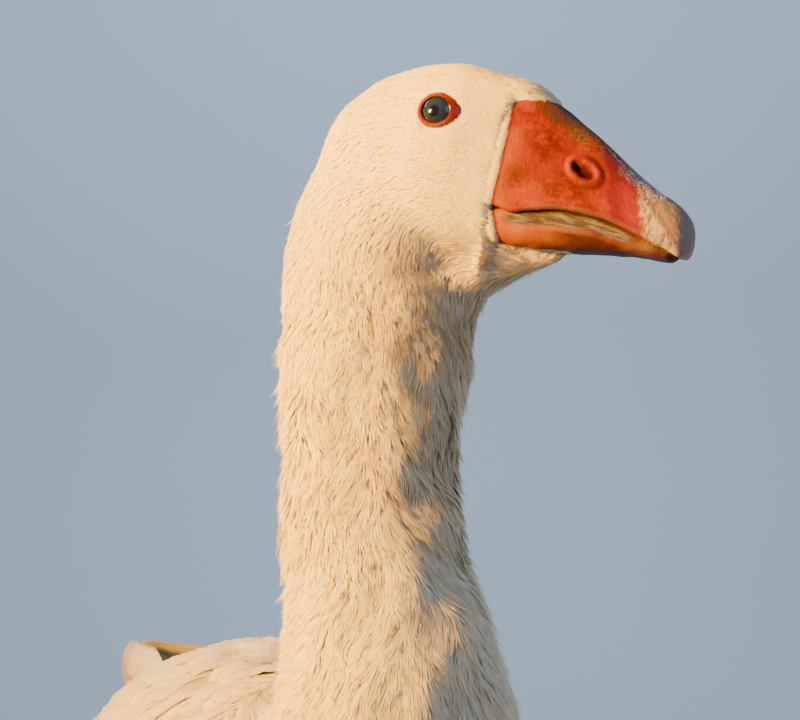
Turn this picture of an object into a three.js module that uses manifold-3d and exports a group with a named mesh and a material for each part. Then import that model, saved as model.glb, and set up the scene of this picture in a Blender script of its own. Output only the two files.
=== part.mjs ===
// A large white domestic goose, life size, standing still with its head turned to its left.
// Millimetres, +Z up, +X the way the body faces, +Y its left. The origin is on the ground,
// under the middle of the whole bird. Feathered parts reach out to the tips of the coat.
import * as THREE from "three";
import { mergeVertices } from "three/addons/utils/BufferGeometryUtils.js";
import Module from "manifold-3d";

const wasm = await Module();
wasm.setup();

// ---- Driving dimensions, in mm and degrees -------------------------------------------------
const GAP = 0.3; // between two pieces that meet
const CLEAR = 0.4; // that a piece is grown by before it cuts its neighbour
const EYE_HEIGHT = 643; // middle of the head, above the ground
const HEAD_PLACE = [157, 52]; // the same point, ahead of and left of the feet
const HEAD_YAW = 47; // the head looks to the bird's left
const HEAD_PITCH = 20; // and the bill points down
const BILL_TIP = 110; // from the middle of the head
const FACE_PLANE = 28.5; // where the feathers end on the cheek, from the middle of the head
const TONGUE_TIP = 44; // where the forehead feathers end on the ridge of the bill
const CHIN_TIP = 64; // where the feathers end under the bill
const EYE_RADIUS = 8.6;
const EYE_AT = [-0.3, 17.6, 0.5]; // eyeball's middle: ahead of, aside from and above the middle of the head
const FEET_APART = 116; // between the middles of the two feet
const ANKLE_X = -42;
const ANKLE_HEIGHT = 13;
const HOCK_X = -64;
const HOCK_HEIGHT = 112;
const TOE_OUT = 9; // each foot turns out by this
const WEB_THICK = 3;
const WELD = 0.001; // corners nearer than this are one
const CUT_LEVEL = 0.18; // facets flatter than this are joined

const radians = THREE.MathUtils.degToRad;
const vector = (p) => new THREE.Vector3(...p);
const spline = (points) => new THREE.CatmullRomCurve3(points.map(vector), false, "centripetal");

// ---- Making closed bodies ------------------------------------------------------------------
// A closed geometry as a solid that can be joined and cut, its faces turned outwards.
function solid(geometry) {
  const bare = geometry.clone();
  bare.deleteAttribute("normal");
  bare.deleteAttribute("uv");
  const { attributes, index } = mergeVertices(bare, WELD);
  const vertProperties = attributes.position.array;
  const made = (triVerts) => new wasm.Manifold(new wasm.Mesh({ numProp: 3, vertProperties, triVerts }));
  const body = made(new Uint32Array(index.array));
  return body.volume() > 0 ? body : made(new Uint32Array(index.array).reverse());
}

// A solid back as a three.js geometry.
function geometryOf(body) {
  const mesh = body.getMesh();
  return new THREE.BufferGeometry()
    .setAttribute("position", new THREE.BufferAttribute(mesh.vertProperties, 3))
    .setIndex(new THREE.BufferAttribute(mesh.triVerts, 1));
}

// A sphere whose rings are carried along a path: place(t, angle) says where each point goes.
function stretchedSphere(place, along, around) {
  const geometry = new THREE.SphereGeometry(1, around, along);
  const position = geometry.attributes.position;
  const point = new THREE.Vector3();
  for (let i = 0; i < position.count; i++) {
    point.fromBufferAttribute(position, i);
    const polar = Math.acos(THREE.MathUtils.clamp(point.y, -1, 1));
    const at = place((1 - Math.cos(polar)) / 2, Math.atan2(point.z, point.x));
    position.setXYZ(i, at.x, at.y, at.z);
  }
  return geometry;
}

// Stations are { at, side, wide, out, back }: the section's middle, the direction of its width, its
// half width, and how far it reaches each way across the path. `square` over 2 fills its corners.
function sections(stations, square = 2) {
  const middle = spline(stations.map((s) => s.at));
  const side = spline(stations.map((s) => s.side ?? [0, 1, 0]));
  const size = spline(stations.map((s) => [s.wide, s.out, s.back]));
  const bulge = (v) => Math.sign(v) * Math.abs(v) ** (2 / square);
  return (t, angle, grow = 0) => {
    const tangent = middle.getTangent(t);
    const across = side.getPoint(t);
    across.addScaledVector(tangent, -across.dot(tangent)).normalize();
    const outward = new THREE.Vector3().crossVectors(tangent, across);
    const { x: wide, y: out, z: back } = size.getPoint(t);
    const [s, c] = [bulge(Math.sin(angle)), bulge(Math.cos(angle))];
    return middle
      .getPoint(t)
      .addScaledVector(across, (wide + Math.sign(wide) * grow) * s)
      .addScaledVector(outward, ((c > 0 ? out : back) + grow) * c);
  };
}

// A closed body through stations; the first and last have no size.
function loft(stations, [along, around], { square = 2, grow = 0 } = {}) {
  const point = sections(stations, square);
  return solid(stretchedSphere((t, a) => point(t, a, t > 0 && t < 1 ? grow : 0), along, around));
}

// The part of a body on the side that the normal points to, half a gap back from the plane.
function beyond(body, through, normal) {
  const n = vector(normal).normalize();
  return body.trimByPlane(n.toArray(), n.dot(vector(through)) + GAP / 2);
}

// A body parted by a thin cut: [the side the normal points to, the other side].
function parted(body, through, normal) {
  const other = normal.map((v) => -v);
  return [beyond(body, through, normal), beyond(body, through, other)];
}

const moved = (body, matrix) => body.transform(matrix.elements);

// ---- Trunk -----------------------------------------------------------------------------------
// Seen from the side: a deep keel, a full breast, a long level back that falls to the rump.
const TRUNK = [
  { x: 232, wide: 0, top: 292, foot: 292 },
  { x: 226, wide: 37, top: 334, foot: 250 },
  { x: 206, wide: 67, top: 367, foot: 213 },
  { x: 165, wide: 91, top: 391, foot: 181 },
  { x: 105, wide: 107, top: 406, foot: 160 },
  { x: 35, wide: 113, top: 412, foot: 148 },
  { x: -40, wide: 110, top: 409, foot: 145 },
  { x: -115, wide: 98, top: 397, foot: 153 },
  { x: -180, wide: 80, top: 380, foot: 175 },
  { x: -235, wide: 58, top: 360, foot: 210 },
  { x: -280, wide: 38, top: 341, foot: 256 },
  { x: -306, wide: 21, top: 329, foot: 288 },
  { x: -318, wide: 0, top: 310, foot: 310 },
];
// The cuts across the trunk, in front of the belly and behind it.
const BREAST_CUT = [[96, 0, 300], [1, 0, 0.12]];
const RUMP_CUT = [[-132, 0, 300], [1, 0, -0.15]];

// Stations along the body's length, each from its half width, top and underside.
const alongBody = (rows) =>
  rows.map(({ x, wide, top, foot }) => ({
    at: [x, 0, (top + foot) / 2],
    wide,
    out: (top - foot) / 2,
    back: (top - foot) / 2,
  }));

const TRUNK_MESH = [18, 24]; // facets along and around, as for every body below
const TRUNK_SQUARE = 2.04;
const trunkWith = (grow) => loft(alongBody(TRUNK), TRUNK_MESH, { square: TRUNK_SQUARE, grow });

// ---- Neck ------------------------------------------------------------------------------------
const headLeft = [-Math.sin(radians(HEAD_YAW)), Math.cos(radians(HEAD_YAW)), 0];
const bodyLeft = [0, 1, 0];
const halfTurned = [headLeft[0] / 2, (headLeft[1] + 1) / 2, 0];
const NECK = [
  { at: [104, 0, 318], side: bodyLeft, wide: 0, out: 0, back: 0 },
  { at: [124, 0, 338], side: bodyLeft, wide: 68, out: 64, back: 62 },
  { at: [152, 0, 376], side: bodyLeft, wide: 62, out: 62, back: 55 },
  { at: [161, 1.5, 406], side: bodyLeft, wide: 49.5, out: 52, back: 46 },
  { at: [156, 3.4, 430], side: bodyLeft, wide: 43, out: 46, back: 43 },
  { at: [148, 4.2, 457], side: bodyLeft, wide: 39, out: 42, back: 40 },
  { at: [139, 6, 490], side: bodyLeft, wide: 36, out: 39, back: 38 },
  { at: [133, 11.4, 518], side: bodyLeft, wide: 37.6, out: 40, back: 38 },
  { at: [129.6, 18.6, 550], side: halfTurned, wide: 41, out: 45, back: 41 },
  { at: [130.6, 24, 575], side: headLeft, wide: 38, out: 45.5, back: 42 },
  { at: [133, 27, 600], side: headLeft, wide: 33, out: 43.5, back: 38 },
  { at: [137, 31, 618], side: headLeft, wide: 27, out: 37, back: 30 },
  { at: [144, 38, 630], side: headLeft, wide: 0, out: 0, back: 0 },
];
const NECK_MESH = [20, 20];
// The cuts across the neck, from the head down: a point on each and the way that it faces.
const HEAD_CUT = [[135, 30, 572], [-0.12, -0.12, 1]];
const UPPER_NECK_CUT = [[138, 9, 515], [0, 0, 1]];
const MIDDLE_NECK_CUT = [[148, 3, 455], [0.1, 0, 1]];

// ---- Head, made about the point between the eyes, then turned into place -----------------------
const headTurn = new THREE.Euler(0, radians(HEAD_PITCH), radians(HEAD_YAW), "ZYX");
const HEAD = new THREE.Matrix4()
  .makeRotationFromEuler(headTurn)
  .setPosition(HEAD_PLACE[0], HEAD_PLACE[1], EYE_HEIGHT);

const CRANIUM = [
  { x: -56, wide: 0, top: -40, foot: -40 },
  { x: -53, wide: 9, top: -28, foot: -52 },
  { x: -47, wide: 14, top: -17, foot: -60 },
  { x: -38, wide: 19, top: -3.5, foot: -66 },
  { x: -26, wide: 23.6, top: 10.5, foot: -69 },
  { x: -12, wide: 27, top: 21, foot: -70 },
  { x: 3, wide: 28, top: 25.8, foot: -68 },
  { x: 16, wide: 26.4, top: 27.4, foot: -64 },
  { x: 30, wide: 21, top: 26.2, foot: -55 },
  { x: 44, wide: 15, top: 20, foot: -44 },
  { x: 51, wide: 9, top: 10, foot: -34 },
  { x: 54, wide: 0, top: -10, foot: -10 },
];
const THROAT = [
  { at: [CHIN_TIP + 1, 0, -42], wide: 0, out: 0, back: 0 },
  { at: [58, 0, -43.5], wide: 6.5, out: 4, back: 4 },
  { at: [46, 0, -46], wide: 12, out: 7.5, back: 8 },
  { at: [32, 0, -51], wide: 18, out: 12, back: 13 },
  { at: [13, 0, -63], wide: 24, out: 19, back: 21 },
  { at: [-6, 0, -82], wide: 23, out: 22, back: 23 },
  { at: [-15, 0, -91], wide: 0, out: 0, back: 0 },
];
const CRANIUM_MESH = [16, 20];
const EYE_MESH = [14, 8];
const CRANIUM_SQUARE = 2.4;
const THROAT_MESH = [8, 12];
const FACE_FRONT = [FACE_PLANE, 0, -10]; // the face's feathers end in a plane that leans a little
const FACE_WAY = [1, 0, 0.08];

// Two tongues of feathers run out over the bill's ridge and under its lower half.
const BROW_TONGUE = { halfWidth: 11.5, tip: TONGUE_TIP, low: 10, high: 40 };
const CHIN_TONGUE = { halfWidth: 11, tip: CHIN_TIP, low: -70, high: -41 };
const TONGUE_ROOT = 12; // how far behind the face a tongue starts
const TONGUE_BLUNT = 4; // its tip is this much blunter than a point

// A tongue's outline, from above.
function tongueOutline(halfWidth, tip, grow) {
  const shape = new THREE.Shape();
  const wide = halfWidth + grow;
  const bend = tip - TONGUE_BLUNT + grow;
  shape.moveTo(FACE_PLANE - TONGUE_ROOT, -wide);
  shape.lineTo(FACE_PLANE, -wide);
  shape.quadraticCurveTo(bend, -halfWidth / 2 - grow, tip + grow, 0);
  shape.quadraticCurveTo(bend, halfWidth / 2 + grow, FACE_PLANE, wide);
  shape.lineTo(FACE_PLANE - TONGUE_ROOT, wide);
  return shape;
}

function tongue({ halfWidth, tip, low, high }, grow) {
  const outline = tongueOutline(halfWidth, tip, grow);
  const settings = { depth: high - low, bevelEnabled: false, curveSegments: 3 };
  return solid(new THREE.ExtrudeGeometry(outline, settings).translate(0, 0, low));
}

// ---- Bill --------------------------------------------------------------------------------------
// Side and top outlines of the upper bill: ridge, cutting edge and half width along its length.
const UPPER_BILL = [
  { x: 18, ridge: 20.5, edge: -31, wide: 17.2 },
  { x: 32, ridge: 20.2, edge: -31.8, wide: 18 },
  { x: 39, ridge: 18, edge: -32.4, wide: 18 },
  { x: 46, ridge: 14.8, edge: -30.4, wide: 17.8 },
  { x: 55, ridge: 10.4, edge: -27.8, wide: 17.4 },
  { x: 66, ridge: 4.6, edge: -26.7, wide: 16.8 },
  { x: 76, ridge: -1.4, edge: -27.4, wide: 16 },
  { x: 86, ridge: -7.2, edge: -29, wide: 15 },
  { x: 95, ridge: -11.8, edge: -31, wide: 13.6 },
  { x: 102, ridge: -14.9, edge: -32.4, wide: 11.6 },
  { x: 106.6, ridge: -19, edge: -33.6, wide: 8.6 },
  { x: 109.2, ridge: -23.4, edge: -32, wide: 4.6 },
  { x: BILL_TIP, ridge: -27.6, edge: -27.6, wide: 0 },
];
const LOWER_BILL = [
  { x: 20, lip: -30.6, keel: -46.6, wide: 14.4 },
  { x: 33, lip: -31.2, keel: -46.4, wide: 15.2 },
  { x: 45, lip: -29.4, keel: -44.6, wide: 15.2 },
  { x: 58, lip: -26.4, keel: -42.7, wide: 14.8 },
  { x: 72, lip: -25.8, keel: -40.2, wide: 13.8 },
  { x: 85, lip: -27.8, keel: -38, wide: 12.4 },
  { x: 93, lip: -30, keel: -37.2, wide: 10.8 },
  { x: 99, lip: -31.4, keel: -37, wide: 8.2 },
  { x: 103.4, lip: -32.8, keel: -36.4, wide: 5 },
  { x: 106, lip: -34.4, keel: -34.4, wide: 0 },
];

const UPPER_MESH = [18, 18];
const LOWER_MESH = [12, 14];
const BILL_CAP = 0.02; // the share of a bill half's length that its closed root takes
const NAIL_CUT = [[95, 0, -20], [1, 0, -0.2]];

// A bill half through rows of { x, high, low, wide }; `shape` says how its section is filled.
function billHalf(rows, high, low, shape, [along, around]) {
  const size = spline(rows.map((r) => [r.x, r[high], r[low]]));
  const width = spline(rows.map((r) => [r.x, r.wide, 0]));
  const place = (t, angle) => {
    const u = THREE.MathUtils.clamp((t - BILL_CAP) / (1 - BILL_CAP), 0, 1);
    const { x, y: top, z: bottom } = size.getPoint(u);
    const wide = width.getPoint(u).y;
    const { y, z } = shape(angle);
    const closed = t <= 0 ? 0 : 1;
    return new THREE.Vector3(x, y * wide * closed, bottom + (top - bottom) * (closed ? z : 0.5));
  };
  return solid(stretchedSphere(place, along, around));
}

// Sections of unit half width and height. The upper half is a dome whose cutting edges hang down
// round a shallow palate.
const DOME_FULLNESS = 0.88; // under 1 fills the dome's shoulders
const PALATE = 0.09; // how high the palate stands over the cutting edges
function domed(angle) {
  const [s, c] = [Math.sin(angle), Math.cos(angle)];
  const y = Math.sign(s) * Math.abs(s) ** DOME_FULLNESS;
  return { y, z: c > 0 ? PALATE + (1 - PALATE) * c : PALATE * (1 + c) ** 4 + 0.03 * c * c };
}

// The lower half is a shallow trough whose lips stand up.
const TROUGH_FULLNESS = 0.6;
const TROUGH_HOLLOW = 0.2; // how far its middle is below the lips
const KEEL_RISE = 0.8; // how far up the sides its rounded keel reaches
function trough(angle) {
  const [s, c] = [Math.sin(angle), Math.cos(angle)];
  const y = Math.sign(s) * Math.abs(s) ** TROUGH_FULLNESS;
  return { y, z: c > 0 ? 1 - TROUGH_HOLLOW * (1 - c) ** 4 : KEEL_RISE * (1 - Math.abs(c) ** 0.7) };
}

const NOSTRIL = { at: [63.4, 0, -9.4], long: 5.4, high: 2.2, slope: 24, through: 40 };

// A slot right through the bill from side to side, as a goose's nostrils are.
function nostrilSlot() {
  const slot = new THREE.SphereGeometry(1, 12, 6);
  slot.scale(NOSTRIL.long, NOSTRIL.through, NOSTRIL.high);
  slot.rotateY(radians(NOSTRIL.slope));
  return solid(slot.translate(...NOSTRIL.at));
}

// ---- Wings -------------------------------------------------------------------------------------
// The folded wing seen from the side, laid on the trunk: wrist in front, tip over the rump.
const WING_OUTLINE = [
  [148, 340], [143, 306], [112, 275], [50, 256], [-40, 254], [-125, 268], [-190, 294],
  [-232, 326], [-240, 360], [-210, 420], [-120, 450], [30, 450], [74, 418], [122, 372],
];
const WING_THICK = 9;
const WING_FROM_MIDLINE = 12;
const WING_OUTLINE_STEPS = 30;
const WING_BLANK_DEPTH = 180;
const WING_FROM_WING = 0.8; // the flight feathers stop this far from the midline
const COVERTS_END = [[-18, 0, 340], [1, 0, -0.62]];
const SECONDARIES_END = [[-168, 0, 350], [1, 0, -0.75]];

function wingPrism() {
  const corners = WING_OUTLINE.map(([x, z]) => vector([x, z, 0]));
  const outline = new THREE.CatmullRomCurve3(corners, true, "centripetal");
  const points = outline.getPoints(WING_OUTLINE_STEPS).slice(0, -1);
  const shape = new THREE.Shape(points.map((p) => new THREE.Vector2(p.x, p.y)));
  const blank = new THREE.ExtrudeGeometry(shape, { depth: WING_BLANK_DEPTH, bevelEnabled: false });
  return solid(blank.rotateX(Math.PI / 2).translate(0, WING_FROM_MIDLINE + WING_BLANK_DEPTH, 0));
}

// The long flight feathers of the folded wing, a thin blade that runs past the rump.
const FLIGHT_BLADE = [
  { at: [-112, 42, 374], side: [0, 0.6, -0.8], wide: 0, out: 0, back: 0 },
  { at: [-120, 42, 374], side: [0, 0.6, -0.8], wide: 26, out: 8, back: 8 },
  { at: [-190, 29, 375], side: [0, 0.55, -0.84], wide: 27, out: 8, back: 8 },
  { at: [-260, 15, 372], side: [0, 0.45, -0.89], wide: 23, out: 6, back: 6 },
  { at: [-312, 8, 374], side: [0, 0.4, -0.92], wide: 16, out: 4, back: 4 },
  { at: [-334, 6, 378], side: [0, 0.4, -0.92], wide: 10, out: 2.6, back: 2.6 },
  { at: [-345, 5, 381], side: [0, 0.4, -0.92], wide: 0, out: 0, back: 0 },
];
const BLADE_MESH = [12, 10];

// ---- Tail --------------------------------------------------------------------------------------
const TAIL = [
  { at: [-232, 0, 320], wide: 0, out: 0, back: 0 },
  { at: [-240, 0, 320], wide: 30, out: 9, back: 9 },
  { at: [-290, 0, 319], wide: 42, out: 9, back: 9 },
  { at: [-332, 0, 319], wide: 50, out: 5.5, back: 6 },
  { at: [-358, 0, 322], wide: 46, out: 3, back: 3 },
  { at: [-371, 0, 325], wide: 0, out: 0, back: 0 },
];
const TAIL_MESH = [9, 14];
const TAIL_SQUARE = 2.5;

// ---- Legs --------------------------------------------------------------------------------------
const LEG_Y = FEET_APART / 2;
const THIGH = [
  { at: [2, LEG_Y - 2, 236], wide: 0, out: 0, back: 0 },
  { at: [-3, LEG_Y - 2, 222], wide: 30, out: 44, back: 42 },
  { at: [-24, LEG_Y, 176], wide: 30, out: 38, back: 38 },
  { at: [-43, LEG_Y, 148], wide: 23, out: 26, back: 26 },
  { at: [-56, LEG_Y, 128], wide: 14.5, out: 15, back: 15 },
  { at: [-61, LEG_Y, 119], wide: 11, out: 11.5, back: 11 },
  { at: [HOCK_X + 1, LEG_Y, HOCK_HEIGHT + 2], wide: 0, out: 0, back: 0 },
];
const SHANK = [
  { at: [HOCK_X + 4, LEG_Y, HOCK_HEIGHT + 14], wide: 0, out: 0, back: 0 },
  { at: [HOCK_X + 3, LEG_Y, HOCK_HEIGHT + 10], wide: 7.5, out: 7.5, back: 7.5 },
  { at: [HOCK_X, LEG_Y, HOCK_HEIGHT], wide: 9.2, out: 10, back: 10.5 },
  { at: [HOCK_X + 3, LEG_Y, HOCK_HEIGHT - 14], wide: 7.8, out: 8.6, back: 8.6 },
  { at: [HOCK_X + 10, LEG_Y, 62], wide: 6.4, out: 7.8, back: 7.6 },
  { at: [ANKLE_X - 4, LEG_Y, 28], wide: 7.2, out: 8, back: 7.6 },
  { at: [ANKLE_X, LEG_Y, ANKLE_HEIGHT], wide: 8.6, out: 9, back: 9 },
  { at: [ANKLE_X + 1, LEG_Y, 4], wide: 7, out: 8, back: 8 },
  { at: [ANKLE_X + 1, LEG_Y, 1], wide: 0, out: 0, back: 0 },
];
const THIGH_MESH = [10, 14];
const SHANK_MESH = [12, 10];
const TOE_MESH = [7, 6];
const CLAW_MESH = [6, 6];

// Toes, from the ankle: how far they turn out from the foot's own line, and their length.
const TOES = {
  inner: { turn: -27, long: 74, thick: 5 },
  middle: { turn: 0, long: 98, thick: 5.8 },
  outer: { turn: 26, long: 88, thick: 5.4 },
};
const ANKLE_CUT = 19; // height at which the shank meets the foot
const CLAW_LONG = 10;
const CLAW_OFF_GROUND = 0.5;

// A toe lies along +X from the ankle: two joints thicken it, and its underside is flat.
const toeStations = ({ long, thick }) => [
  { at: [-7, 0, thick * 0.7], wide: 0, out: 0, back: 0 },
  { at: [-5, 0, thick * 0.8], wide: thick, out: thick * 0.85, back: thick },
  { at: [long * 0.2, 0, thick * 0.75], wide: thick * 0.9, out: thick * 0.85, back: thick },
  { at: [long * 0.46, 0, thick * 0.6], wide: thick * 0.92, out: thick * 0.82, back: thick },
  { at: [long * 0.7, 0, thick * 0.5], wide: thick * 0.72, out: thick * 0.72, back: thick },
  { at: [long * 0.93, 0, thick * 0.42], wide: thick * 0.62, out: thick * 0.66, back: thick },
  { at: [long, 0, thick * 0.4], wide: 0, out: 0, back: 0 },
];

const clawStations = ({ long, thick }) => [
  { at: [long - 5, 0, thick * 0.62], wide: 0, out: 0, back: 0 },
  { at: [long - 4, 0, thick * 0.62], wide: thick * 0.42, out: thick * 0.42, back: thick * 0.42 },
  { at: [long + 1, 0, thick * 0.68], wide: thick * 0.42, out: thick * 0.42, back: thick * 0.44 },
  { at: [long + CLAW_LONG * 0.6, 0, thick * 0.58], wide: thick * 0.26, out: thick * 0.3, back: thick * 0.3 },
  { at: [long + CLAW_LONG, 0, thick * 0.28], wide: 0, out: 0, back: 0 },
];

const HIND_TOE = [
  { at: [2, 3, 20], wide: 0, out: 0, back: 0 },
  { at: [0, 3, 20], wide: 4, out: 4, back: 4 },
  { at: [-12, -3, 15], wide: 3.4, out: 3.4, back: 3.4 },
  { at: [-21, -7, 9.5], wide: 2.6, out: 2.6, back: 2.6 },
  { at: [-23, -8, 8], wide: 0, out: 0, back: 0 },
];
const HIND_CLAW = [
  { at: [-19, -6, 11], wide: 0, out: 0, back: 0 },
  { at: [-20, -6.6, 10], wide: 1.9, out: 1.9, back: 1.9 },
  { at: [-25, -9, 6.4], wide: 1.3, out: 1.3, back: 1.3 },
  { at: [-28, -10.5, 2.4], wide: 0, out: 0, back: 0 },
];

// Puts a piece made at the foot's own origin on the ground under the ankle.
const FOOT = new THREE.Matrix4()
  .makeRotationZ(radians(TOE_OUT))
  .setPosition(ANKLE_X, LEG_Y, 0);
const turned = (toe) => new THREE.Matrix4().makeRotationZ(radians(toe.turn));

// The web, seen from above, hangs between the toes in two shallow scallops.
const WEB_HEEL = [-4, 3];
const WEB_BACK = { inner: 5, middle: 7, outer: 6 }; // how far behind each toe's tip it starts
const WEB_SCALLOP = 0.93; // under 1 draws the scallop towards the ankle
function webBlank() {
  const corner = (name) => {
    const long = TOES[name].long - WEB_BACK[name];
    const turn = radians(TOES[name].turn);
    return new THREE.Vector2(long * Math.cos(turn), long * Math.sin(turn));
  };
  const corners = Object.keys(TOES).map(corner);
  const shape = new THREE.Shape();
  shape.moveTo(WEB_HEEL[0], -WEB_HEEL[1]);
  shape.lineTo(...corners[0]);
  for (let i = 1; i < corners.length; i++) {
    const bend = corners[i - 1].clone().add(corners[i]).multiplyScalar(WEB_SCALLOP / 2);
    shape.quadraticCurveTo(...bend, ...corners[i]);
  }
  shape.lineTo(...WEB_HEEL);
  const settings = { depth: WEB_THICK, bevelEnabled: false, curveSegments: 4 };
  return solid(new THREE.ExtrudeGeometry(shape, settings));
}

// ---- Assembling --------------------------------------------------------------------------------
const pieces = {};
const mirrored = (body) => body.mirror([0, 1, 0]);
const pair = (name, left) => {
  pieces[`${name}_left`] = left;
  pieces[`${name}_right`] = mirrored(left);
};

// Head and bill, at the head's own origin.
const eyeBall = (side, grow) => {
  const ball = new THREE.SphereGeometry(EYE_RADIUS + grow, ...EYE_MESH);
  return solid(ball.translate(EYE_AT[0], side * EYE_AT[1], EYE_AT[2]));
};
const backwards = FACE_WAY.map((v) => -v);
const inFace = (body) => beyond(body, FACE_FRONT, backwards);
const inBill = (body) => beyond(body, FACE_FRONT, FACE_WAY);
const headBlank = loft(alongBody(CRANIUM), CRANIUM_MESH, { square: CRANIUM_SQUARE });
const throatBlank = loft(THROAT, THROAT_MESH);
const face = inFace(headBlank)
  .add(inFace(throatBlank))
  .add(headBlank.intersect(tongue(BROW_TONGUE, 0)))
  .add(throatBlank.intersect(tongue(CHIN_TONGUE, 0)));
const upperBlank = billHalf(UPPER_BILL, "ridge", "edge", domed, UPPER_MESH);
const lowerBlank = billHalf(LOWER_BILL, "lip", "keel", trough, LOWER_MESH);
const billUpper = inBill(upperBlank).subtract(tongue(BROW_TONGUE, CLEAR)).subtract(nostrilSlot());
const chinRoom = tongue({ ...CHIN_TONGUE, high: CHIN_TONGUE.high + CLEAR }, CLEAR);
const billLower = inBill(lowerBlank).subtract(chinRoom);
const lowered = UPPER_BILL.map((row) => ({ ...row, edge: row.edge - (row.wide ? CLEAR : 0) }));
const upperRoom = billHalf(lowered, "ridge", "edge", domed, UPPER_MESH);
const [nail, billRest] = parted(billUpper, ...NAIL_CUT);

// Feathered flesh: head, neck and trunk made whole, then parted across.
const neckBlank = loft(NECK, NECK_MESH);
const trunkBlank = trunkWith(0);
const trunkRoom = trunkWith(CLEAR);
const sockets = moved(eyeBall(1, CLEAR).add(eyeBall(-1, CLEAR)), HEAD);
const headAndNeck = moved(face, HEAD).add(neckBlank).subtract(sockets).subtract(trunkRoom);
const [headPiece, belowHead] = parted(headAndNeck, ...HEAD_CUT);
const [neckUpper, belowUpper] = parted(belowHead, ...UPPER_NECK_CUT);
const [neckMiddle, neckLower] = parted(belowUpper, ...MIDDLE_NECK_CUT);

pieces.head = headPiece;
pieces.bill_upper = moved(billRest, HEAD);
pieces.bill_nail = moved(nail, HEAD);
pieces.bill_lower = moved(billLower.subtract(upperRoom), HEAD);
pieces.eye_left = moved(eyeBall(1, 0), HEAD);
pieces.eye_right = moved(eyeBall(-1, 0), HEAD);
pieces.neck_upper = neckUpper;
pieces.neck_middle = neckMiddle;
pieces.neck_lower = neckLower;

// Trunk, with the tail's root and the tops of the legs cut to fit round it.
const [breast, behindBreast] = parted(trunkBlank, ...BREAST_CUT);
const [belly, rump] = parted(behindBreast, ...RUMP_CUT);
pieces.breast = breast;
pieces.belly = belly;
pieces.rump = rump;

const tailWith = (grow) => loft(TAIL, TAIL_MESH, { square: TAIL_SQUARE, grow });
pieces.tail = tailWith(0).subtract(trunkRoom);

const wing = trunkWith(WING_THICK)
  .intersect(wingPrism())
  .add(loft(FLIGHT_BLADE, BLADE_MESH))
  .subtract(trunkRoom)
  .subtract(tailWith(CLEAR))
  .subtract(loft(NECK, NECK_MESH, { grow: CLEAR }))
  .trimByPlane([0, 1, 0], WING_FROM_WING);
const [coverts, flight] = parted(wing, ...COVERTS_END);
const [secondaries, primaries] = parted(flight, ...SECONDARIES_END);
pair("wing_coverts", coverts);
pair("wing_secondaries", secondaries);
pair("wing_primaries", primaries);

// Legs: the thigh sits over the shank's top, and the ankle grows from the foot.
const shankBlank = loft(SHANK, SHANK_MESH);
const shankRoom = loft(SHANK, SHANK_MESH, { grow: CLEAR });
const [shank] = parted(shankBlank, [0, 0, ANKLE_CUT], [0, 0, 1]);
const ankle = shankBlank.trimByPlane([0, 0, -1], -ANKLE_CUT + GAP / 2);
pair("thigh", loft(THIGH, THIGH_MESH).subtract(trunkRoom).subtract(shankRoom));
pair("shank", shank.subtract(trunkRoom));

let footBlank = webBlank().add(loft(HIND_TOE, CLAW_MESH));
let clawRoom = loft(HIND_CLAW, CLAW_MESH, { grow: CLEAR });
for (const toe of Object.values(TOES)) {
  footBlank = footBlank.add(moved(loft(toeStations(toe), TOE_MESH), turned(toe)));
  clawRoom = clawRoom.add(moved(loft(clawStations(toe), CLAW_MESH, { grow: CLEAR }), turned(toe)));
}
const foot = moved(footBlank.subtract(clawRoom), FOOT).add(ankle).trimByPlane([0, 0, 1], 0);
pair("foot", foot.subtract(shankRoom.trimByPlane([0, 0, 1], ANKLE_CUT - GAP / 2)));
for (const [name, toe] of Object.entries(TOES)) {
  const claw = moved(moved(loft(clawStations(toe), CLAW_MESH), turned(toe)), FOOT);
  pair(`claw_${name}`, claw.trimByPlane([0, 0, 1], CLAW_OFF_GROUND));
}
pair("claw_hind", moved(loft(HIND_CLAW, CLAW_MESH), FOOT));

// ---- Materials ---------------------------------------------------------------------------------
const material = (color, roughness) => new THREE.MeshStandardMaterial({ color, roughness });
const FEATHERS = material("#ece8df", 0.85);
const HORN = material("#e07a3c", 0.5);
const NAIL = material("#d9b48a", 0.45);
const EYE = material("#2b2a30", 0.15);
const SHIN = material("#dd7f3e", 0.6);
const CLAW = material("#8d7a68", 0.5);
const finish = (name) => {
  if (name.startsWith("eye")) return EYE;
  if (name === "bill_nail") return NAIL;
  if (name.startsWith("bill")) return HORN;
  if (name.startsWith("claw")) return CLAW;
  return /^(shank|foot)/.test(name) ? SHIN : FEATHERS;
};

const group = new THREE.Group();
group.name = "goose";
for (const [name, body] of Object.entries(pieces)) {
  const mesh = new THREE.Mesh(geometryOf(body.simplify(CUT_LEVEL)), finish(name));
  mesh.name = name;
  group.add(mesh);
}

// The origin goes on the ground under the middle of the whole bird.
const bounds = new THREE.Box3().setFromObject(group);
const middle = bounds.getCenter(new THREE.Vector3());
for (const mesh of group.children) mesh.geometry.translate(-middle.x, -middle.y, -bounds.min.z);

export default group;
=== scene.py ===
import math
import bmesh
import bpy
import numpy as np
from mathutils import Matrix, Vector
from mathutils.bvhtree import BVHTree


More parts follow.
